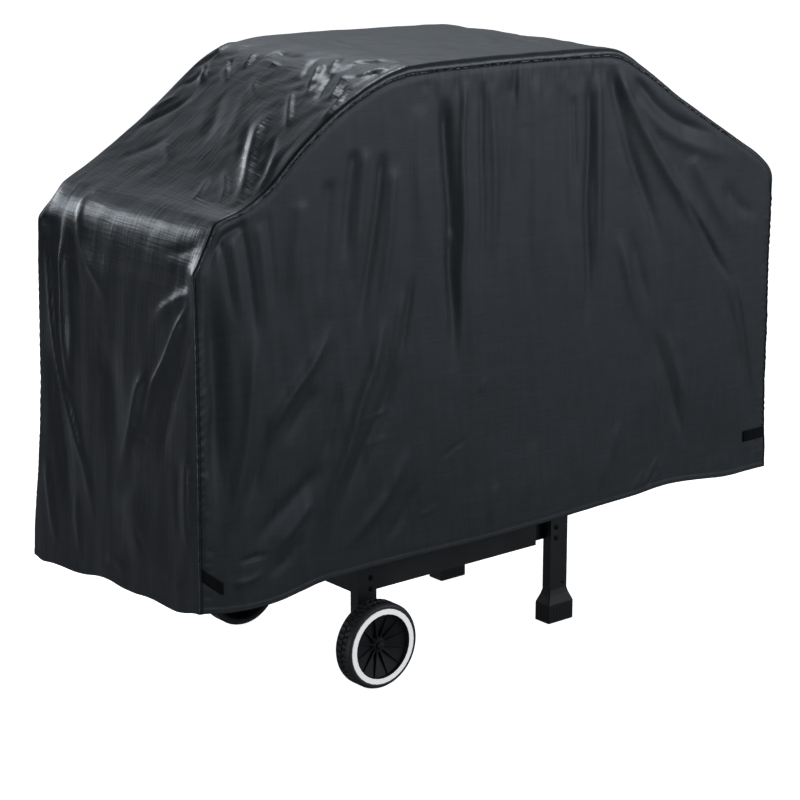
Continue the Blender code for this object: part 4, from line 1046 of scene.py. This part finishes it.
slot_of = {p["node"]: p["material_slot"] for p in frame["record"]["subparts"]}
for name, ob in frame["nodes"].items():
    ob.data.materials.clear()
    ob.data.materials.append(LOOKS[slot_of[name]])
    if not name.startswith("cover_") and not name.endswith("_strap"):
        m = ob.modifiers.new("soft_edges", "BEVEL")
        m.width, m.segments, m.limit_method, m.angle_limit = .0007, 2, "ANGLE", math.radians(35)
        m.use_clamp_overlap = True
        m.harden_normals = False
# the corner cord wears the dark matte webbing look as painted shade
for obs, look in (([cover_front, cover_back], PANEL_FABRIC_PAINTED_LIGHT), ([cover_strip], FABRIC), ([thread], THREAD),
                  ([piping_painted_highlight], PAINTED_HIGHLIGHT_PIPING), (straps + [painted_shade_cord], LOOKS["strap_webbing"]),
                  (tyres, LOOKS["tyre_plastic"]), (feet, LOOKS["black_plastic"])):
    for ob in obs:
        ob.data.materials.append(look)

# ---------------------------------------------------------------- stage, light, camera
bpy.ops.mesh.primitive_plane_add(size=60, location=(0, 0, 0))
floor = bpy.context.object
floor.name = "floor"
floor_look, t, b = material("floor", (.9, .9, .9), .9, 0, .1)
seen = t.new("LightPath").outputs["Is Camera Ray"]
t.put(b.inputs["Base Color"], t.blend(seen, (.30, .30, .31, 1), (.93, .93, .93, 1)))
b.inputs["Emission Color"].default_value = (1, 1, 1, 1)
t.put(b.inputs["Emission Strength"], t.mul(seen, .93))
floor.data.materials.append(floor_look)

# a studio that the camera sees as plain white, and that lights the object from above and behind
# and, more weakly, from the front right
world = bpy.data.worlds.new("studio")
scene.world = world
world.use_nodes = True
wall = Tree(world.node_tree)
sky = wall.new("TexCoord").outputs["Generated"]


def facing(direction, low, high):
    """0 to 1 as the cosine to the direction goes from low to high."""
    dot = wall.new("VectorMath", operation="DOT_PRODUCT")
    wall.put(dot.inputs[0], sky)
    wall.put(dot.inputs[1], Vector(direction).normalized())
    r = wall.new("MapRange", interpolation_type="SMOOTHSTEP")
    wall.put(r.inputs["Value"], dot.outputs["Value"])
    wall.put(r.inputs["From Min"], low)
    wall.put(r.inputs["From Max"], high)
    return r.outputs["Result"]


BACK, UP, FRONT_RIGHT = (0, 1, 0), (0, 0, 1), (.75, -.65, .3)
band = wall.mul(facing(BACK, .15, .75), facing(UP, 0, .46))
band = wall.mul(band, wall.math("SUBTRACT", 1.0, wall.mul(facing(UP, .45, .65), .92)))
level = wall.add(wall.mul(band, .80), .03)
level = wall.add(level, wall.mul(facing(FRONT_RIGHT, .3, 1), .45))
seen = wall.new("LightPath").outputs["Is Camera Ray"]
strength = wall.new("Mix")
wall.put(strength.inputs[0], seen)
wall.put(strength.inputs[2], level)
wall.put(strength.inputs[3], 1.0)
background = world.node_tree.nodes["Background"]
wall.put(background.inputs["Color"], wall.blend(seen, (.86, .93, 1, 1), (1, 1, 1, 1)))
wall.put(background.inputs["Strength"], strength.outputs[0])


def area(name, at, to, size, power):
    d = bpy.data.lights.new(name, "AREA")
    d.shape = "RECTANGLE"
    d.size, d.size_y = size
    d.energy = power
    d.color = (.90, .95, 1.0)
    ob = bpy.data.objects.new(name, d)
    scene.collection.objects.link(ob)
    ob.location = at
    ob.rotation_mode = "QUATERNION"
    ob.rotation_quaternion = (Vector(at) - Vector(to)).to_track_quat("Z", "Y")


area("front_right", (2.6, -3.8, 1.9), (0, 0, .7), (2.6, 2.0), 80)
area("streaks", (1.0, 2.0, 4.2), (-.5, 0, 1.1), (.9, .8), 42)
area("crest", (-2.6, 3.4, 2.5), (-.7, 0, .98), (1.2, .6), 28)
area("left_low", (-4.2, -.9, .3), (-.76, 0, .6), (1.5, 1.0), 42)
area("behind", (-1.0, 4.6, 1.6), (0, .2, .7), (2.2, 1.4), 75)

cam_data = bpy.data.cameras.new("camera")
cam = bpy.data.objects.new("camera", cam_data)
scene.collection.objects.link(cam)
azimuth, elevation, distance = math.radians(-39.29), math.radians(15.46), 5.214
across, ahead = math.sin(azimuth) * math.cos(elevation), -math.cos(azimuth) * math.cos(elevation)
toward = Vector((across, ahead, math.sin(elevation)))
cam.location = Vector((-.0691, 0, .4996)) + toward * distance
cam.rotation_mode = "QUATERNION"
cam.rotation_quaternion = toward.to_track_quat("Z", "Y")
cam_data.lens, cam_data.sensor_width = 112.5, 36
cam_data.clip_end = 100
scene.camera = cam
scene.view_settings.view_transform = "Standard"
